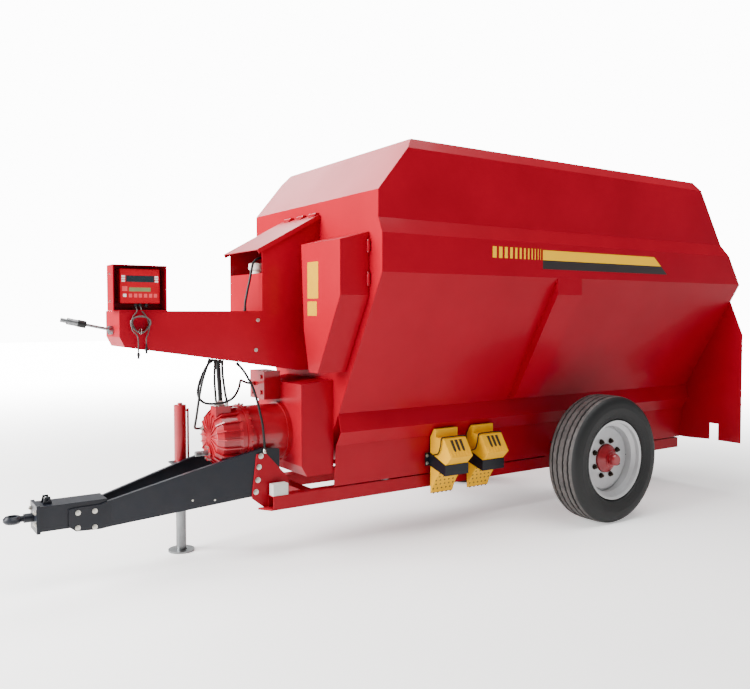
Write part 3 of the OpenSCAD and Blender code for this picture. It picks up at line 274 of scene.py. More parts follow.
def tyre_finish():
    """Black rubber with rings near the bead, and a worn, cut tread."""
    material = blank_material("moulded tyre rubber")
    tree = material.node_tree
    place = add(tree, "ShaderNodeTexCoord").outputs["Object"]
    centre = add(tree, "ShaderNodeMapping",
                 inputs={"Location": (-AXLE_X, 0.0, -TYRE_R * MM), "Scale": (1.0, 0.0, 1.0)},
                 links={"Vector": place})
    radius = add(tree, "ShaderNodeVectorMath", {"operation": "LENGTH"},
                 links={"Vector": centre.outputs["Vector"]}).outputs["Value"]
    turns = add(tree, "ShaderNodeMath", {"operation": "MULTIPLY"}, {1: 2 * math.pi / RING_PITCH_M},
                {0: radius})
    rings = add(tree, "ShaderNodeMath", {"operation": "SINE"}, links={0: turns.outputs["Value"]})
    bead = add(tree, "ShaderNodeMapRange",
               inputs={"From Min": RINGS_FADE_M[0], "From Max": RINGS_FADE_M[1]}, links={"Value": radius})
    near_bead = add(tree, "ShaderNodeMath", {"operation": "MULTIPLY"},
                    links={0: rings.outputs["Value"], 1: bead.outputs["Result"]})
    sipes = add(tree, "ShaderNodeTexVoronoi", inputs={"Scale": SIPES_PER_M}, links={"Vector": place})
    crown = add(tree, "ShaderNodeMapRange",
                inputs={"From Min": TREAD_BEGINS_M[0], "From Max": TREAD_BEGINS_M[1]},
                links={"Value": radius}).outputs["Result"]
    on_tread = add(tree, "ShaderNodeMath", {"operation": "MULTIPLY"},
                   links={0: sipes.outputs["Distance"], 1: crown})
    cloud = add(tree, "ShaderNodeTexNoise", inputs={"Scale": 14.0, "Detail": 7.0}, links={"Vector": place})
    worn = add(tree, "ShaderNodeMath", {"operation": "MULTIPLY"},
               links={0: cloud.outputs["Fac"], 1: crown})
    tone = add(tree, "ShaderNodeMix", {"data_type": "RGBA"},
               {MIX_A: linear(BLACK_RUBBER), MIX_B: linear(WORN_RUBBER)},
               {"Factor": worn.outputs["Value"]})
    ring_bump = add(tree, "ShaderNodeBump", inputs={"Strength": 0.7, "Distance": 0.0008},
                    links={"Height": near_bead.outputs["Value"]})
    sipe_bump = add(tree, "ShaderNodeBump", inputs={"Strength": 0.6, "Distance": 0.003},
                    links={"Height": on_tread.outputs["Value"], "Normal": ring_bump.outputs["Normal"]})
    skin = add(tree, "ShaderNodeTexNoise", inputs={"Scale": GRAIN_PER_M}, links={"Vector": place})
    skin_bump = add(tree, "ShaderNodeBump", inputs={"Strength": 0.5, "Distance": 0.0003},
                    links={"Height": skin.outputs["Fac"], "Normal": sipe_bump.outputs["Normal"]})
    shader = add(tree, "ShaderNodeBsdfPrincipled", inputs={"Roughness": 0.55, "Specular IOR Level": 0.35},
                 links={"Base Color": tone.outputs[MIX_RESULT], "Normal": skin_bump.outputs["Normal"]})
    add(tree, "ShaderNodeOutputMaterial", links={"Surface": shader.outputs["BSDF"]})
    return material


tyre_rubber = tyre_finish()

# %% [markdown]
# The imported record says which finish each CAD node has. The nodes whose shape is right stay as they
# are, and only get the better material. Castings have the coarser enamel, but rolled sections are as
# smooth as sheet, and the lever's rod is bare steel.

# %% Dress the CAD nodes
FINISH_OF_SLOT = {
    "tub_red": sheet_red, "frame_red": cast_red, "drawbar_black": drawbar_black, "tyre": tyre_rubber,
    "rim_silver": wheel_silver, "worn_steel": bare_steel, "chock_yellow": chock_yellow,
    "grey_plastic": box_grey, "lamp_red": lamp_red, "hose_rubber": hose_rubber,
}
FINISH_OF_NODE = {
    "chassis_rails": sheet_red, "cross_members": sheet_red, "hitch_plates": sheet_red,
    "tub_feet": sheet_red, "axle": sheet_red, "control_lever": bare_steel,
}
for row in frame["record"]["subparts"]:
    node = frame["nodes"][row["node"]]
    coat = FINISH_OF_NODE.get(row["node"], FINISH_OF_SLOT[row["material_slot"]])
    if not node.material_slots:
        node.data.materials.append(coat)
    for holder in node.material_slots:
        holder.material = coat
print("CAD nodes dressed:", len(frame["nodes"]))


# %% [markdown]
# ## Small makers
# A few helpers turn points and faces into pieces: a thickened outline, a block with broken edges and a
# turned profile. Every piece rides on a body of the CAD model by name. Each call also names one of the
# record's material slots, which the helper does not use. Faces point outwards.

# %% Helpers that make a piece
DOUBLES_M = 1e-6


def keep(obj, material, body):
    """Links a finished object, dresses it and lets it ride on a CAD body."""
    if obj.name not in bpy.context.scene.collection.objects:
        bpy.context.scene.collection.objects.link(obj)
    if material is not None:
        obj.data.materials.clear()
        obj.data.materials.append(material)
    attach(obj, body)
    return obj


def mesh_piece(name, vertices, faces, material, body, slot=None, smooth=False):
    """A piece from points and faces, with its doubles merged and its faces turned outwards."""
    mesh = bpy.data.meshes.new(name)
    mesh.from_pydata([tuple(v) for v in vertices], [], faces)
    shell = bmesh.new()
    shell.from_mesh(mesh)
    bmesh.ops.remove_doubles(shell, verts=shell.verts, dist=DOUBLES_M)
    bmesh.ops.recalc_face_normals(shell, faces=shell.faces)
    shell.to_mesh(mesh)
    shell.free()
    for face in mesh.polygons:
        face.use_smooth = smooth
    return keep(bpy.data.objects.new(name, mesh), material, body)


def prism(outline, lift):
    """A flat outline in space, thickened by the vector lift."""
    count = len(outline)
    points = [Vector(p) for p in outline] + [Vector(p) + lift for p in outline]
    faces = [list(range(count))[::-1], list(range(count, 2 * count))]
    faces += [[i, (i + 1) % count, (i + 1) % count + count, i + count] for i in range(count)]
    return points, faces


def join(*parts):
    """Several (points, faces) as one."""
    points, faces = [], []
    for some_points, some_faces in parts:
        shift = len(points)
        points += list(some_points)
        faces += [[i + shift for i in face] for face in some_faces]
    return points, faces


def block(low, high, bevel=0.0):
    """A box between two points of the drawing, with its edges broken by a small bevel."""
    shell = bmesh.new()
    bmesh.ops.create_cube(shell, size=1.0)
    a, b = at(*low), at(*high)
    for v in shell.verts:
        v.co = Vector([(a[i] + b[i]) / 2 + v.co[i] * (b[i] - a[i]) for i in range(3)])
    if bevel:
        bmesh.ops.bevel(shell, geom=shell.edges[:], offset=bevel * MM, segments=2, profile=0.5,
                        affect="EDGES")
    points = [v.co.copy() for v in shell.verts]
    shell.verts.index_update()
    faces = [[v.index for v in f.verts] for f in shell.faces]
    shell.free()
    return points, faces


def lathe(profile, start, axis, sides=24):
    """A profile of (distance along the axis, radius) in millimetres, turned about an axis in space."""
    axis = Vector(axis).normalized()
    side = axis.orthogonal().normalized()
    other = axis.cross(side)
    points, faces = [], []
    for k in range(sides):
        angle = 2 * math.pi * k / sides
        out = side * math.cos(angle) + other * math.sin(angle)
        points += [start + axis * a * MM + out * r * MM for a, r in profile]
    n = len(profile)
    for k in range(sides):
        m = (k + 1) % sides
        faces += [[k * n + i, m * n + i, m * n + i + 1, k * n + i + 1] for i in range(n - 1)]
    faces.append([k * n for k in range(sides)][::-1])
    faces.append([k * n + n - 1 for k in range(sides)])
    return points, faces


# %% [markdown]
# ## Hoses and cables
# Rubber hoses run from the control arm down to the gearbox and the gear cover, and one comes out of
# the housing onto the arm. Each is a tube along one smooth curve. Its points follow the drawing's route,
# so that the physics solids and these pieces lie in the same place, and they ease the bends near the
# ends, as stiff hose does. A poly curve with a round bevel is the simplest way to an even tube whose
# centreline is exact.

# %% Smooth lines through chosen points
def smooth_line(points, steps=8):
    """A Catmull-Rom line through the points, which keeps every one of them."""
    points = [Vector(p) for p in points]
    ends = [2 * points[0] - points[1]] + points + [2 * points[-1] - points[-2]]
    line = []
    for i in range(1, len(ends) - 2):
        before, a, b, after = ends[i - 1:i + 3]
        for k in range(steps):
            t = k / steps
            line.append(0.5 * (2 * a + (b - before) * t + (2 * before - 5 * a + 4 * b - after) * t ** 2
                               + (3 * a - before - 3 * b + after) * t ** 3))
    return line + [points[-1]]


def cable(name, line, diameter, material=hose_rubber):
    """A round tube on one open line, which rides on the chassis."""
    curve = bpy.data.curves.new(name, "CURVE")
    curve.dimensions = "3D"
    curve.bevel_depth = diameter / 2
    curve.bevel_resolution = 4
    curve.use_fill_caps = True
    spline = curve.splines.new("POLY")
    spline.points.add(len(line) - 1)
    for point, place in zip(spline.points, line):
        point.co = (*place, 1.0)
    spline.use_smooth = True
    return keep(bpy.data.objects.new(name, curve), material, "chassis")


# %% [markdown]
# A hose ends in one of two ways. Where it is screwed on, a steel sleeve is crimped on the rubber behind a
# hexagon nut. Where it goes into sheet, a rubber grommet guards it. Both are turned profiles, given in
# millimetres along the hose and in parts of its radius, so that one profile fits every hose.

# %% The ends of a hose
FERRULE_SLEEVE = [(0, 0.7), (0, 1.3), (6, 1.45), (10, 1.3), (14, 1.5), (18, 1.3), (22, 1.5), (26, 1.25),
                  (30, 1.05)]
FERRULE_NUT = [(0, 0.8), (1, 1.75), (9, 1.75), (10, 0.8)]
GROMMET = [(0, 0.8), (0, 1.45), (3, 1.5), (4, 1.25), (24, 1.12), (25, 0.9)]


def fitted(profile, hose_r, end, inwards, sides):
    """A profile for a hose of radius 1, turned for a hose of radius hose_r."""
    return lathe([(run, hose_r * part) for run, part in profile], end, inwards, sides)


def ferrule(name, end, inwards, hose_r):
    sleeve = fitted(FERRULE_SLEEVE, hose_r, end, inwards, 20)
    nut = fitted(FERRULE_NUT, hose_r, end, inwards, 6)
    return mesh_piece(name, *join(sleeve, nut), zinc, "chassis", "worn_steel")


def grommet(name, end, inwards, hose_r):
    sleeve = fitted(GROMMET, hose_r, end, inwards, 20)
    return mesh_piece(name, *sleeve, hose_rubber, "chassis", "hose_rubber")


# %% [markdown]
# Six of the hoses are 16 mm across, and the return line is 30 mm across. All leave the arm downwards and
# end on a fitting, but the one over the sill leaves the tank upwards and goes into the arm.

# %% The hydraulic hoses
HOSE_R = 8
RETURN_R = 15
HOSES = {
    "hose_long_loop": (HOSE_R, [
        (2831, 75, 1285.6), (2872, 75, 1246), (2912, 75, 1172), (2933, 75, 1097), (2925, 75, 1046),
        (2893, 92, 1014), (2829, 98, 1006), (2753, 98, 1014), (2694, 85, 1042), (2640, 35, 1088),
        (2606, -20, 1120), (2576, -72, 1131), (2543, -112, 1120), (2502, -129, 1105),
        (2460.4, -130, 1100)]),
    "hose_straight": (HOSE_R, [
        (2807, 48, 1285.8), (2812, 50, 1150), (2806, 52, 1040), (2802, 52, 984.4)]),
    "hose_side": (HOSE_R, [
        (2687, 110, 1262.2), (2651, 130, 1215), (2623, 145, 1163), (2600, 170, 1099), (2585, 195, 1023),
        (2574, 215, 947), (2563, 229, 870), (2556, 231, 793), (2551, 231, 735), (2550, 231, 680.5)]),
    "hose_front": (HOSE_R, [
        (2860, 95, 1292.6), (2900, 95, 1190), (2926, 95, 1088), (2938, 84, 990), (2938, 56, 920),
        (2931, 18, 878), (2920, -20, 852), (2905, -52, 838), (2884, -77, 831), (2858, -91, 828),
        (2830.4, -94, 828)]),
    "hose_short": (HOSE_R, [
        (2778, 92, 1280.2), (2772, 88, 1180), (2752, 80, 1060), (2744, 78, 1030), (2744, 78, 984.4)]),
    "hose_over_sill": (HOSE_R, [
        (2420, 80, 1832.4), (2420, 80, 1866), (2430, 82, 1903.5), (2457.5, 86, 1931), (2495, 91, 1941),
        (2532.5, 95, 1931), (2560, 98, 1903.5), (2572, 100, 1864), (2587, 100, 1794), (2605, 100, 1716),
        (2618, 100, 1650), (2622, 100, 1593.4)]),
    "hose_return": (RETURN_R, [
        (2776, 18, 1278.6), (2768, 18, 1148), (2762, 20, 1040), (2762, 20, 984.4)]),
}
USUAL_ENDS = (grommet, ferrule)
OTHER_ENDS = {"hose_over_sill": (ferrule, grommet)}
for name, (radius, places) in HOSES.items():
    route = smooth_line([at(*p) for p in places])
    hose = cable(name, route, 2 * radius * MM)
    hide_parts("hoses")
    first, last = OTHER_ENDS.get(name, USUAL_ENDS)
    ends = [first(name + "_end_a", route[0], route[1] - route[0], radius),
            last(name + "_end_b", route[-1], route[-2] - route[-1], radius)]

# %% [markdown]
# The indicator's two leads hang below it in a loose tied bundle, each with a moulded plug on its end.
# Two turns of each lead lie side by side against the arm, in ovals that the strap pinches at the bottom.
# A spiral formula places them a cable's width apart, which hand-placed points would not do.

# %% The route of a lead
LEAD_MM = 7.0
TURN_GAP_MM = 1.6
HANK_Z = 1512
HANK_TURNS = 2
HANK_PINCH = 0.32
GLAND_Y = 124
# The middle, half width and half height of the oval, for a lead that winds to the right or the left
OVALS = {1: (3311, 49, 51), -1: (3318, 56, 47)}


def hank_line(gland_x, first_y, hand, plug_x, plug_z):
    """Down from the gland, twice round a pinched oval, and down again to the plug."""
    middle_x, half_w, half_h = OVALS[hand]
    side_x = middle_x - hand * half_w
    line = [(gland_x, GLAND_Y, 1639.5), (gland_x, GLAND_Y, 1628), (gland_x - hand * 2, 136, 1612),
            (gland_x - hand * 6, first_y - 4, 1590), (side_x + hand * 14, first_y, 1560)]
    steps = 24
    for k in range(HANK_TURNS * steps + 1):
        angle = 2 * math.pi * k / steps
        width = half_w * (1 - HANK_PINCH * math.sin(angle))
        line.append((middle_x - hand * width * math.cos(angle),
                     first_y + k / steps * (LEAD_MM + TURN_GAP_MM), HANK_Z - half_h * math.sin(angle)))
    last_y = line[-1][1]
    line += [(side_x + hand * 5, last_y, 1478), (plug_x - hand * 6, last_y - 2, 1448),
             (plug_x, last_y - 4, plug_z + 40), (plug_x, last_y - 4, plug_z)]
    return smooth_line([at(*p) for p in line], steps=3)


# %% The indicator's leads and plugs
DOWN = Vector((0, 0, -1))
RIB_PITCH = 4
PLUG_GRIP = [(22, 6), (24, 9), (40, 9.5), (42, 8), (42.5, 6.5), (57, 6.5), (58, 5.5)]
PLUG_OVERLAP_MM = 4
# The gland's x, the first turn's y, the hand (1 winds right and -1 left), and the plug's x and z
LEADS = {
    "indicator_lead_left": (3330, 169, -1, 3335, 1365),
    "indicator_lead_right": (3306, 150.5, 1, 3282, 1394),
}


def plug(name, end):
    """A moulded plug that points down: a ribbed sleeve, a grip and a slimmer nose."""
    ribs = [(0, 3.6)]
    for k in range(5):
        rib = RIB_PITCH * k
        ribs += [(rib + 1, 5.2), (rib + 3, 5.2), (rib + 3.4, 4.4), (rib + 4.6, 4.4)]
    body = lathe(ribs + PLUG_GRIP, end - DOWN * PLUG_OVERLAP_MM * MM, DOWN, 20)
    return mesh_piece(name, *body, moulded_black, "chassis", "hose_rubber")


for name, places in LEADS.items():
    route = hank_line(*places)
    lead = cable(name, route, LEAD_MM * MM, cable_grey)
    tip = plug(name + "_plug", route[-1])
    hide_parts("indicator_lead")
    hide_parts("lead_plugs")

# %% The strap round the leads
# A thin wire strap ties the turns together at their lowest point. It lies in one plane across the turns.
STRAP_X = 3318
STRAP_MM = 3
STRAP = [(146, 1482), (146, 1466), (149, 1456), (168, 1453), (187, 1456), (190, 1466), (190, 1482),
         (187, 1488), (168, 1490), (149, 1488), (146, 1482)]
strap_line = smooth_line([at(STRAP_X, y, z) for y, z in STRAP], steps=4)
cable("lead_strap", strap_line, STRAP_MM * MM, zinc)

# %% [markdown]
# Two small turned pieces finish the front. The control lever's rod is a CAD node, and a moulded knob is
# pushed onto its end, in line with it. The oil tank's filler has a pale plastic cap with a wide rim to
# grip, above a neck and a flange. A lathe profile is the quickest way to both.

# %% The lever's grip and the oil tank's filler cap
LEVER_AT = (3433, 0, 1479)
LEVER_LIFT = math.radians(12)
GRIP_STARTS = 158
GRIP = [(0, 10), (0, 20), (3, 22), (44, 22), (48, 20.5), (48, 10)]
CAP_AT = (2400, -190, 1836)
CAP = [(0, 37), (0, 58), (6, 58), (7, 42), (38, 42), (39, 53), (42, 56), (76, 56), (84, 52), (88, 40)]
lever_axis = Vector((math.cos(LEVER_LIFT), 0, math.sin(LEVER_LIFT)))
grip = lathe(GRIP, at(*LEVER_AT) + lever_axis * GRIP_STARTS * MM, lever_axis, 24)
mesh_piece("lever_grip", *grip, moulded_black, "chassis", "drawbar_black")
cap = lathe(CAP, at(*CAP_AT), -DOWN, 28)
mesh_piece("filler_cap", *cap, pale_cap, "chassis", "tub_red")

# %% [markdown]
# ## Tyres
# A lorry tyre of this kind has a flat crown with straight ribs, parted by deep grooves whose walls step
# from side to side. It could be a smooth ring with a bump, but the grooves show at the tyre's outline,
# so they are real. One section is carried round the axis, and each groove is shifted a little sideways
# by a short zigzag. That is exact and has no seam.

# %% Ribbed tyres
WHEEL_Y = 828
GROOVES = (-73, -27, 27, 73)
GROOVE_DEEP = 12
# A groove's section: the distance from its middle and the share of its depth
GROOVE_WALLS = ((-7.5, 0), (-6.5, 0.5), (-4.5, 1), (4.5, 1), (6.5, 0.5), (7.5, 0))
ZIGZAGS = 56
ZIGZAG_SHIFTS = (0, 1.8, 0, -1.8)
TREAD_EDGE_DEG = 32
CROWN = [(0, 479), (63, 479), (98, 475), (122, 463), (134, 433)]
SIDEWALL = [(104, 300), (124, 314), (135, 358), (137.2, 384), (138, 388), (138, 394), (137.3, 398),
            (137.4, 412), (134, 433), (127, 452)]
SHOULDER = [(115, 466), (98, 475)]
# The bead and the rim's bed close the section below the sidewalls
BEAD = [(104, 286.5), (84, 286.5), (70, 310), (-70, 310), (-84, 286.5), (-104, 286.5)]


def crown_radius(across):
    """The tread's outer radius at a distance from the tyre's middle plane."""
    across = abs(across)
    for (y0, r0), (y1, r1) in zip(CROWN, CROWN[1:]):
        if across <= y1:
            return r0 + (r1 - r0) * (across - y0) / (y1 - y0)
    return CROWN[-1][1]


def tyre_section():
    """(distance from the middle plane, radius, share of the zigzag) once round the tyre's wall."""
    outer = SIDEWALL + SHOULDER
    section = [(-y, r, 0) for y, r in outer]
    for groove in GROOVES:
        for off, depth in GROOVE_WALLS:
            section.append((groove + off, crown_radius(groove + off) - depth * GROOVE_DEEP, 1))
    section += [(y, r, 0) for y, r in outer[::-1]]
    return section + [(y, r, 0) for y, r in BEAD]


def tyre(side):
    """The section carried round the wheel's axis, on the left (side 1) or the right (side -1)."""
    section = tyre_section()
    steps = ZIGZAGS * len(ZIGZAG_SHIFTS)
    points, faces = [], []
    for k in range(steps):
        angle = 2 * math.pi * k / steps
        shift = ZIGZAG_SHIFTS[k % len(ZIGZAG_SHIFTS)]
        for across, radius, share in section:
            points.append(at(radius * math.sin(angle), side * WHEEL_Y + across + share * shift,
                             TYRE_R + radius * math.cos(angle)))
    count = len(section)
    for k in range(steps):
        m = (k + 1) % steps
        for i in range(count):
            j = (i + 1) % count
            faces.append([k * count + i, k * count + j, m * count + j, m * count + i])
    return points, faces


for name, side in (("left", 1), ("right", -1)):
    piece = mesh_piece("road_tyre_" + name, *tyre(side), tyre_rubber, "wheel_" + name, "tyre",
                       smooth=True)
    piece.data.set_sharp_from_angle(angle=math.radians(TREAD_EDGE_DEG))
    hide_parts("tyre_" + name)
print("each tyre has", len(piece.data.polygons), "faces")

# %% [markdown]
# ## Fasteners
# Wheel nuts, flange bolts and sheet bolts are one shape in many sizes: a washer, a hexagon and the end
# of a stud. Geometry Nodes place them. Each body gets a cloud of points that carry a direction and a
# size, and one tree turns every point into a fastener.

# %% The fastener tree
def new_tree(name, inputs):
    """An empty tree with geometry in and out, and one named input for each entry of inputs."""
    tree = bpy.data.node_groups.new(name, "GeometryNodeTree")
    tree.interface.new_socket("Geometry", in_out="INPUT", socket_type="NodeSocketGeometry")
    for label, (kind, value) in inputs.items():
        socket = tree.interface.new_socket(label, in_out="INPUT", socket_type="NodeSocket" + kind)
        if value is not None:
            socket.default_value = value
    tree.interface.new_socket("Geometry", in_out="OUTPUT", socket_type="NodeSocketGeometry")
    return tree


def fastener_tree():
    """Washer, hexagon and stud's end on every point, turned to its direction and scaled to its size."""
    tree = new_tree("fasteners on points", {
        "Head radius": ("Float", 0.017), "Head height": ("Float", 0.013), "Washer radius": ("Float", 0.021),
        "Washer height": ("Float", 0.003), "Stud radius": ("Float", 0.008), "Stud length": ("Float", 0.02),
        "Finish": ("Material", None)})
    given = add(tree, "NodeGroupInput")
    parts = []
    for label, sides in (("Washer", 20), ("Head", 6), ("Stud", 12)):
        depth = given.outputs[label + (" length" if label == "Stud" else " height")]
        bar = add(tree, "GeometryNodeMeshCylinder", {"fill_type": "NGON"}, {"Vertices": sides},
                  {"Radius": given.outputs[label + " radius"], "Depth": depth})
        half = add(tree, "ShaderNodeMath", {"operation": "MULTIPLY"}, {1: 0.5}, {0: depth})
        lift = add(tree, "ShaderNodeCombineXYZ", links={"Z": half.outputs["Value"]})
        parts.append(add(tree, "GeometryNodeTransform", links={
            "Geometry": bar.outputs["Mesh"], "Translation": lift.outputs["Vector"]}))
    whole = add(tree, "GeometryNodeJoinGeometry")
    for part in parts:
        tree.links.new(part.outputs["Geometry"], whole.inputs["Geometry"])
    facing = add(tree, "GeometryNodeInputNamedAttribute", {"data_type": "FLOAT_VECTOR"},
                 {"Name": "facing"})
    size = add(tree, "GeometryNodeInputNamedAttribute", {"data_type": "FLOAT"}, {"Name": "size"})
    turn = add(tree, "FunctionNodeAlignRotationToVector", {"axis": "Z"},
               links={"Vector": facing.outputs["Attribute"]})
    cloud = add(tree, "GeometryNodeMeshToPoints", links={"Mesh": given.outputs["Geometry"]})
    placed = add(tree, "GeometryNodeInstanceOnPoints",
                 links={"Points": cloud.outputs["Points"], "Instance": whole.outputs["Geometry"],
                        "Rotation": turn.outputs["Rotation"], "Scale": size.outputs["Attribute"]})
    return close_tree(tree, placed.outputs["Instances"], given.outputs["Finish"])


def close_tree(tree, instances, finish_socket):
    """The tree's end: instances become real mesh, and take their material."""
    real = add(tree, "GeometryNodeRealizeInstances", links={"Geometry": instances})
    dressed = add(tree, "GeometryNodeSetMaterial", links={
        "Geometry": real.outputs["Geometry"], "Material": finish_socket})
    add(tree, "NodeGroupOutput", links={"Geometry": dressed.outputs["Geometry"]})
    return tree


def grow(name, tree, points, values, body, attributes):
    """Runs a tree over a cloud of points and keeps the result as one plain mesh."""
    cloud = bpy.data.meshes.new(name + " points")
    cloud.from_pydata([tuple(p) for p in points], [], [])
    for label, (kind, field, data) in attributes.items():
        layer = cloud.attributes.new(label, kind, "POINT")
        for item, value in zip(layer.data, data):
            setattr(item, field, value)
    holder = bpy.data.objects.new(name + " points", cloud)
    bpy.context.scene.collection.objects.link(holder)
    modifier = holder.modifiers.new("grow", "NODES")
    modifier.node_group = tree
    for item in tree.interface.items_tree:
        if item.in_out == "INPUT" and item.name in values:
            modifier[item.identifier] = values[item.name]
    result = holder.evaluated_get(bpy.context.evaluated_depsgraph_get())
    grown = bpy.data.meshes.new_from_object(result)
    bpy.data.objects.remove(holder)
    piece = bpy.data.objects.new(name, grown)
    print(name, "has", len(points), "copies and", len(grown.polygons), "faces")
    return keep(piece, None, body)


fasteners = fastener_tree()


def bolts(name, rows, body, material, sizes=None):
    """rows: (point in the drawing, direction it faces, size)."""
    points = [at(*row[0]) for row in rows]
    facing = [Vector(row[1]).normalized() for row in rows]
    scale = [row[2] for row in rows]
    return grow(name, fasteners, points, {"Finish": material, **(sizes or {})}, body,
                {"facing": ("FLOAT_VECTOR", "vector", facing), "size": ("FLOAT", "value", scale)})


# %% [markdown]
# A lorry wheel of this size is held by eight nuts on a circle of 275 mm, with the end of each stud
# standing out of its nut. The valve stem comes out of the rim between the disc and the tyre's bead.

# %% Wheel nuts and valve stems
NUT_RING = 137.5
NUTS = 8
DISC_FACE = 850
NUT_SIZES = {"Head radius": 0.0165, "Head height": 0.017, "Washer radius": 0.021, "Washer height": 0.005,
             "Stud radius": 0.0085, "Stud length": 0.027}
STEM = [(0, 4.5), (22, 4.5), (23, 6), (34, 6), (35, 4)]
STEM_X = -252
STEM_Y = 836
STEM_LEAN = -0.35
for name, side in (("left", 1), ("right", -1)):
    ring = [2 * math.pi * (i + 0.5) / NUTS for i in range(NUTS)]
    rows = [((NUT_RING * math.cos(a), side * DISC_FACE, TYRE_R + NUT_RING * math.sin(a)),
             (0, side, 0), 1.0) for a in ring]
    bolts("wheel_nuts_" + name, rows, "wheel_" + name, dark_nut, sizes=NUT_SIZES)
    stem = lathe(STEM, at(STEM_X, side * STEM_Y, TYRE_R), Vector((STEM_LEAN, side, 0)), 12)
    mesh_piece("valve_stem_" + name, *stem, moulded_black, "wheel_" + name, "hose_rubber")

# %% [markdown]
# The same tree makes the bolts of the frame. Their places come from the drawing: the hitch plates, the
# tongue box, the control arm's foot, the slanting drawbar plates, the tongue's front, the trays of the
# chocks, and the flanges of the gearbox and of the rear bearing. A ring of small screws goes round the
# rim of the drum in front of the gear cover.

# %% Frame bolts
# Each group: the places on the left side, the direction that the heads face there, and the size
SIDE_BOLTS = (
    (((2578, 234, 667), (2592, 234, 598), (2600, 234, 515), (2614, 234, 440)), (0, 1, 0), 0.85),
    (((3668, 94.3, 429), (3574, 94.3, 427), (3670, 94.3, 342), (3575, 94.3, 333)), (0, 1, 0), 0.72),
    (((2551, 145, 1535), (2566, 145, 1342)), (0, 1, 0), 0.6),
    (((3007, 163, 425), (2870, 183, 413)), (0.1436, 0.99, 0), 0.3),
    (((3890, 70, 390), (3890, 70, 456)), (1, 0, 0), 0.75),
)
CHOCK_X = (768, 1112)
frame_rows = [((x, side * y, z), (facing[0], side * facing[1], 0), size)
              for places, facing, size in SIDE_BOLTS for x, y, z in places for side in (1, -1)]
frame_rows += [((tray_x + 226, 364, z), (0, 1, 0), 0.62) for tray_x in CHOCK_X for z in (508, 561)]


def flange_ring(x, y, z, radius, count, facing, size):
    """Evenly spaced bolts round a circle that looks along x."""
    turns = [2 * math.pi * (i + 0.5) / count for i in range(count)]
    return [((x, y + radius * math.sin(t), z + radius * math.cos(t)), facing, size) for t in turns]


frame_rows += flange_ring(2846, 0, 680, 42, 6, (1, 0, 0), 0.42)
frame_rows += flange_ring(-1710, 0, 840, 97, 6, (-1, 0, 0), 0.9)
bolts("frame_bolts", frame_rows, "chassis", zinc)
# The drum's screws stand on its rim, so each one faces away from the drum's axis.
DRUM_Z = 780
drum_rows = [(place, (0, place[1], place[2] - DRUM_Z), size)
             for place, facing, size in flange_ring(2612, 0, DRUM_Z, 199, 24, (0, 0, 1), 0.5)]
bolts("drum_screws", drum_rows, "chassis", cast_red)

# %% [markdown]
# ## Stripes and blank labels
# Vinyl is cut from film a tenth of a millimetre thick. Here it is a sheet 0.6 mm thick that lies on the
# paint, because two faces in one plane would flicker. The real bands run out in a slant to the rear, and
# towards the front the yellow one breaks up into bars. The places that carried words stay bare.

# %% Stripes on both sides
WAIST = 892
FILM = 0.6
FILM_GAP = 0.15
YELLOW_TOP = 2017
YELLOW_LOW = 1948
BLACK_LOW = 1886
STRIPE_FRONT = 736
# Each bar of the yellow stripe's broken front: where its rear edge is, and its width
BARS = ((1170, 34), (1118, 30), (1070, 26), (1024, 23), (981, 20), (941, 17), (903, 15), (868, 12),
        (836, 10), (807, 8), (780, 6), (757, 4))


def film(outlines, side):
    """Flat shapes given as (x, z), laid on one side of the waist band."""
    thick = Vector((0, side * FILM * MM, 0))
    shapes = [[at(x, side * (WAIST + FILM_GAP), z) for x, z in outline] for outline in outlines]
    return join(*(prism(shape, thick) for shape in shapes))


BLACK_TOP = YELLOW_LOW - 0.5
BAR_TOP = YELLOW_TOP + 5
yellow = [[(STRIPE_FRONT, YELLOW_TOP), (-494, YELLOW_TOP), (-582, YELLOW_LOW), (STRIPE_FRONT, YELLOW_LOW)]]
yellow += [[(x + w, BAR_TOP), (x, BAR_TOP), (x, YELLOW_LOW), (x + w, YELLOW_LOW)] for x, w in BARS]
black = [[(STRIPE_FRONT, BLACK_TOP), (-583, BLACK_TOP), (-661, BLACK_LOW), (STRIPE_FRONT, BLACK_LOW)]]
for name, side in (("left", 1), ("right", -1)):
    mesh_piece("yellow_stripe_" + name, *film(yellow, side), stripe_yellow, "chassis", "tub_red")
    mesh_piece("black_stripe_" + name, *film(black, side), stripe_black, "chassis", "tub_red")

# %% The blank labels
GUARD_FACE = 2300.15
LABEL_CORNER = 6


def label(name, y0, y1, z0, z1):
    """A blank label on the side guard's front, with round corners."""
    r = LABEL_CORNER
    corners = [(y1 - r, z1 - r, 0), (y0 + r, z1 - r, 90), (y0 + r, z0 + r, 180), (y1 - r, z0 + r, 270)]
    outline = []
    for y, z, start in corners:
        for k in range(5):
            t = math.radians(start + k * 90 / 4)
            outline.append(at(GUARD_FACE, y + r * math.cos(t), z + r * math.sin(t)))
    # The label's film colour is painted deeper, as painted shade against the light that falls on it.
    return mesh_piece(name, *prism(outline, Vector((FILM * MM, 0, 0))), label_yellow_painted_shade, "guard", "tub_red")


label("large_blank_label", 352, 490, 1672, 1904)
label("small_blank_label", 352, 472, 1563, 1654)

# %% [markdown]
# ## The weigh indicator
# Its front is one sheet with two windows and flat keys, all left without words. Each part stands a
# fraction of a millimetre above the next: sheet, windows, keys. A raised bar runs along each edge, the
# cable glands hang below, and screws hold the shroud round it.

# %% The indicator's front
PANEL_Y = 133
# The keys: six square ones below, and two columns of three small ones beside the large window
side_keys = [(x, x + 20, z, z + 10) for x in (3198, 3394) for z in (1763, 1777, 1791)]
low_keys = [(x - 10, x + 10, 1672, 1695) for x in (3363, 3333, 3305, 3274, 3244, 3215)]
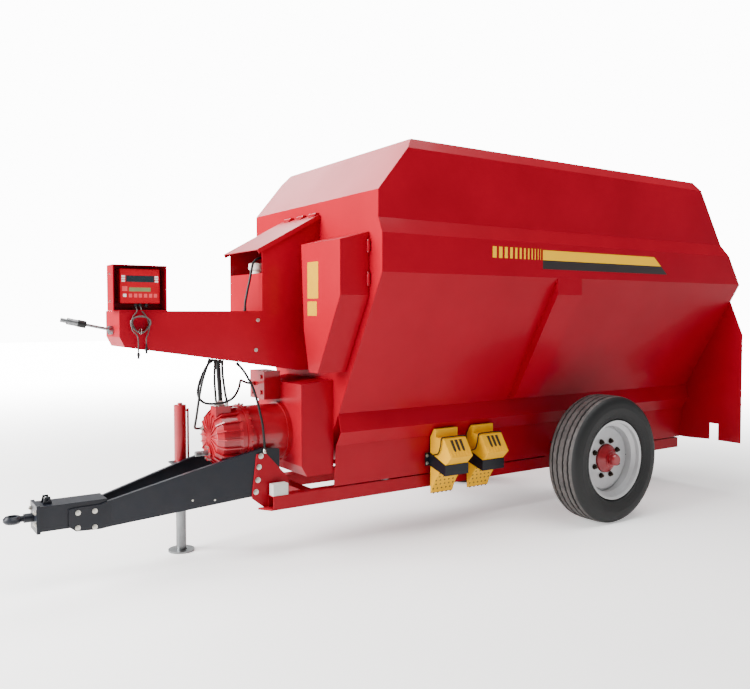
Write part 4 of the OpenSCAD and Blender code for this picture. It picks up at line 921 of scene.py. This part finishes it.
# Name, finish, how far it stands out and how far it reaches behind the panel, bevel, (x0, x1, z0, z1)
PANEL = (
    ("indicator_sheet", panel_red, 0.8, 0.5, 0.5, [(3196, 3418, 1643, 1835)]),
    ("indicator_window", display_glass, 1.4, 0.5, 0.5, [(3222, 3388, 1763, 1801)]),
    ("indicator_small_window", display_green, 1.4, 0.5, 0.5, [(3243, 3371, 1708, 1731)]),
    ("indicator_side_keys", key_white, 1.6, 0.5, 0.5, side_keys + [(3387, 3406, 1675, 1693)]),
    ("indicator_keys", key_red, 1.6, 0.5, 0.5, low_keys + [(3381, 3412, 1709, 1738)]),
    ("indicator_frame", panel_red, 2.5, 2.0, 0.8, [
        (3192, 3422, 1638, 1642.5), (3192, 3422, 1835.5, 1840), (3190, 3195, 1638, 1840),
        (3419, 3424, 1638, 1840)]),
)
for name, material, proud, behind, bevel, fields in PANEL:
    shapes = [block((x0, PANEL_Y - behind, z0), (x1, PANEL_Y + proud, z1), bevel)
              for x0, x1, z0, z1 in fields]
    mesh_piece(name, *join(*shapes), material, "chassis", "tub_red")

# %% The indicator's cable glands and shroud screws
GLAND = [(-1, 9), (8, 9), (9, 11), (20, 11), (21, 8), (26, 6.5)]
GLAND_TOP = 1640
glands = [lathe(GLAND, at(x, GLAND_Y, GLAND_TOP), DOWN, 16) for x in (3268, 3306, 3330)]
mesh_piece("indicator_glands", *join(*glands), moulded_black, "chassis", "hose_rubber")
shroud_rows = [((x, 90, z), (facing, 0, 0), 0.4) for x, facing in ((3150, -1), (3468, 1))
               for z in (1650, 1810)]
bolts("shroud_screws", shroud_rows, "chassis", zinc)

# %% [markdown]
# ## The wheel chocks
# A chock is blown from yellow polyethylene. Its gripping face has rows of dimples, and the slope on its
# back has three deep slots above a row of ribs. Cutting them would break the CAD wedge's loose
# triangles, so dimples and slots are thin pieces in the colour of a shaded hollow, laid on the wedge. A
# bent wire holds each chock in its tray.

# %% Dimples by Geometry Nodes
CHOCK_W = 198
CHOCK_Y = 366
CHOCK_LOW = 287
GRIP_R = 480
GRIP_AT = (461.5, -157.5)
GRIP_START_DEG = 160.9
ROW_STEP_DEG = 4.4
DIMPLE_SIZES = {"Head radius": 0.003, "Head height": 0.0004, "Washer radius": 0.0068,
                "Washer height": 0.0008, "Stud radius": 0.002, "Stud length": 0.0004}
# The floor of a hollow sees little light, so its colour is that of its shade.
hollow = finish("shaded hollow in polyethylene", "#33230a", "#2a1c06", 0.7, cloud_mm=20, grain_mm=1.0,
                grain_depth_mm=0.02)
dimple_rows = []
for chock_x in CHOCK_X:
    for row in range(8):
        slant = math.radians(GRIP_START_DEG - row * ROW_STEP_DEG)
        out = GRIP_AT[0] + GRIP_R * math.cos(slant)
        up = GRIP_AT[1] + GRIP_R * math.sin(slant)
        inwards = (0, -math.cos(slant), -math.sin(slant))
        for k in range(5):
            x = chock_x + 22 + 38.5 * k + (12 if row % 2 else -3)
            dimple_rows.append(((x, CHOCK_Y + out, CHOCK_LOW + up), inwards, 1.0))
bolts("chock_dimples", dimple_rows, "chassis", hollow, DIMPLE_SIZES)

# %% Slots and ribs on the slope
# Both are outlines of (across, up the slope) round the middle of one slot or rib.
SLOT = ((-13, 132), (13, 132), (11, 56), (6, 42), (-6, 42), (-11, 56))
RIB = ((-6, 4), (6, 4), (4, 44), (-4, 44))
slope_low = Vector((0, 600, 576))
slope_high = Vector((0, 520, 698))
along = (slope_high - slope_low).normalized()
outwards = Vector((0, along.z, -along.y))


def on_slope(x, run, lift):
    """A point of the slope: its x, how far up the slope it is, and its height over it."""
    place = slope_low + along * run + outwards * lift
    return at(x, place.y, place.z)


def laid_on_slope(shape, first, step, count, lift, thick):
    """The same outline on both chocks, repeated across each; first and step are parts of its width."""
    pieces = []
    for chock_x in CHOCK_X:
        for k in range(count):
            middle = chock_x + CHOCK_W * (first + step * k)
            outline = [on_slope(middle + dx, run, lift) for dx, run in shape]
            pieces.append(prism(outline, outwards * thick * MM))
    return join(*pieces)


slots = laid_on_slope(SLOT, 0.3, 0.2, 3, 0.3, 0.7)
ribs = laid_on_slope(RIB, 0.08, 0.14, 7, -0.5, 4)
mesh_piece("chock_slots", *slots, hollow, "chassis", "chock_yellow")
mesh_piece("chock_ribs", *ribs, chock_yellow, "chassis", "chock_yellow")

# %% The wires over the chocks
# One half of the wire, from its foot in the tray to the top: (how far in from the side, y, z)
HALF_WIRE = [(0, 368, 560), (0, 420, 572), (0, 470, 590), (0, 494, 640), (0, 502, 684), (5, 503, 700),
             (20, 503, 706)]
WIRE_MM = 9
WIRE_CLEAR = 12
for number, chock_x in enumerate(CHOCK_X):
    left = chock_x - WIRE_CLEAR
    right = chock_x + CHOCK_W + WIRE_CLEAR
    wire = [(right - inset, y, z) for inset, y, z in HALF_WIRE]
    wire += [((left + right) / 2, 503, 707)]
    wire += [(left + inset, y, z) for inset, y, z in HALF_WIRE[::-1]]
    route = smooth_line([at(*p) for p in wire], steps=5)
    cable(f"chock_wire_{number + 1}", route, WIRE_MM * MM, moulded_black)

# %% [markdown]
# ## Floor and light
# The photograph shows the wagon on plain white, lit softly from ahead and above: faces that look
# forward are bright, and the left side is deeper. A pale floor under a white world gives the soft fill.
# One wide lamp ahead of the wagon gives the bright fronts, one overhead lights what faces up, and one
# high on the far side puts a sheen on tyres and enamel that look up or forward.
#
# Plain white needs far more light than the wagon can take. So the world asks what kind of ray meets it:
# the camera sees an overexposed backdrop, surfaces get a soft fill, and gloss mirrors a dimmer room.

# %% The floor
FLOOR_HALF_M = 40.0
GLOW_BEGINS_M = 3.0
GLOW_FULL_M = 15.0
GLOW_LEAST = 0.03
GLOW_ON_OBJECTS = 2.0
BACKDROP_STRENGTH = 16.0


def studio_floor():
    """Pale paper near the wagon that brightens into the backdrop far away, so that no horizon shows."""
    material = finish("pale studio floor", "#f7f6f4", "#f2f1ef", 0.8, cloud_mm=900, grain_depth_mm=0.01,
                      specular=0.1)
    tree = material.node_tree
    paper = next(node for node in tree.nodes if node.type == "BSDF_PRINCIPLED")
    output = next(node for node in tree.nodes if node.type == "OUTPUT_MATERIAL")
    place = add(tree, "ShaderNodeTexCoord")
    away = add(tree, "ShaderNodeVectorMath", {"operation": "LENGTH"},
               links={"Vector": place.outputs["Object"]})
    share = add(tree, "ShaderNodeMapRange", {"interpolation_type": "SMOOTHSTEP"},
                {"From Min": GLOW_BEGINS_M, "From Max": GLOW_FULL_M, "To Min": GLOW_LEAST},
                {"Value": away.outputs["Value"]})
    ray = add(tree, "ShaderNodeLightPath")
    strength = add(tree, "ShaderNodeMapRange",
                   inputs={"To Min": GLOW_ON_OBJECTS, "To Max": BACKDROP_STRENGTH},
                   links={"Value": ray.outputs["Is Camera Ray"]})
    glow = add(tree, "ShaderNodeEmission", links={"Strength": strength.outputs["Result"]})
    blend = add(tree, "ShaderNodeMixShader", links={
        "Fac": share.outputs["Result"], 1: paper.outputs["BSDF"], 2: glow.outputs["Emission"]})
    tree.links.new(blend.outputs["Shader"], output.inputs["Surface"])
    return material


floor_mesh = bpy.data.meshes.new("floor")
floor_grid = bmesh.new()
bmesh.ops.create_grid(floor_grid, x_segments=1, y_segments=1, size=FLOOR_HALF_M)
floor_grid.to_mesh(floor_mesh)
floor_grid.free()
floor = bpy.data.objects.new("floor", floor_mesh)
bpy.context.scene.collection.objects.link(floor)
floor.data.materials.append(studio_floor())

# %% The world
FILL_STRENGTH = 0.36
MIRRORED_STRENGTH = 0.3
world = bpy.data.worlds.new("studio")
bpy.context.scene.world = world
world.use_nodes = True
room = world.node_tree
room.nodes.clear()
ray = add(room, "ShaderNodeLightPath")
seen = add(room, "ShaderNodeMapRange", inputs={"To Min": FILL_STRENGTH, "To Max": BACKDROP_STRENGTH},
           links={"Value": ray.outputs["Is Camera Ray"]})
mirrored = add(room, "ShaderNodeMapRange", inputs={"To Max": MIRRORED_STRENGTH},
               links={"Value": ray.outputs["Is Glossy Ray"], "To Min": seen.outputs["Result"]})
sky = add(room, "ShaderNodeBackground", links={"Strength": mirrored.outputs["Result"]})
add(room, "ShaderNodeOutputWorld", links={"Surface": sky.outputs["Background"]})

# %% The lamps
# Name, place, the point it aims at, width and height in metres, and power in watts
LAMPS = (
    ("front softbox", (9.5, -1.5, 4.5), (0.5, 0.0, 1.4), (7.0, 5.0), 3900),
    ("overhead softbox", (0.0, 2.0, 9.0), (0.0, 0.0, 1.0), (9.0, 6.0), 1100),
    ("far side softbox", (-0.4, -6.5, 6.6), (0.9, 0.0, 2.3), (8.0, 3.5), 800),
)
for name, place, aim, size, power in LAMPS:
    light = bpy.data.lights.new(name, "AREA")
    light.shape = "RECTANGLE"
    light.size, light.size_y = size
    light.energy = power
    holder = bpy.data.objects.new(name, light)
    bpy.context.scene.collection.objects.link(holder)
    holder.location = place
    holder.rotation_euler = (Vector(aim) - Vector(place)).to_track_quat("-Z", "Y").to_euler()
print("lamps:", len(LAMPS))
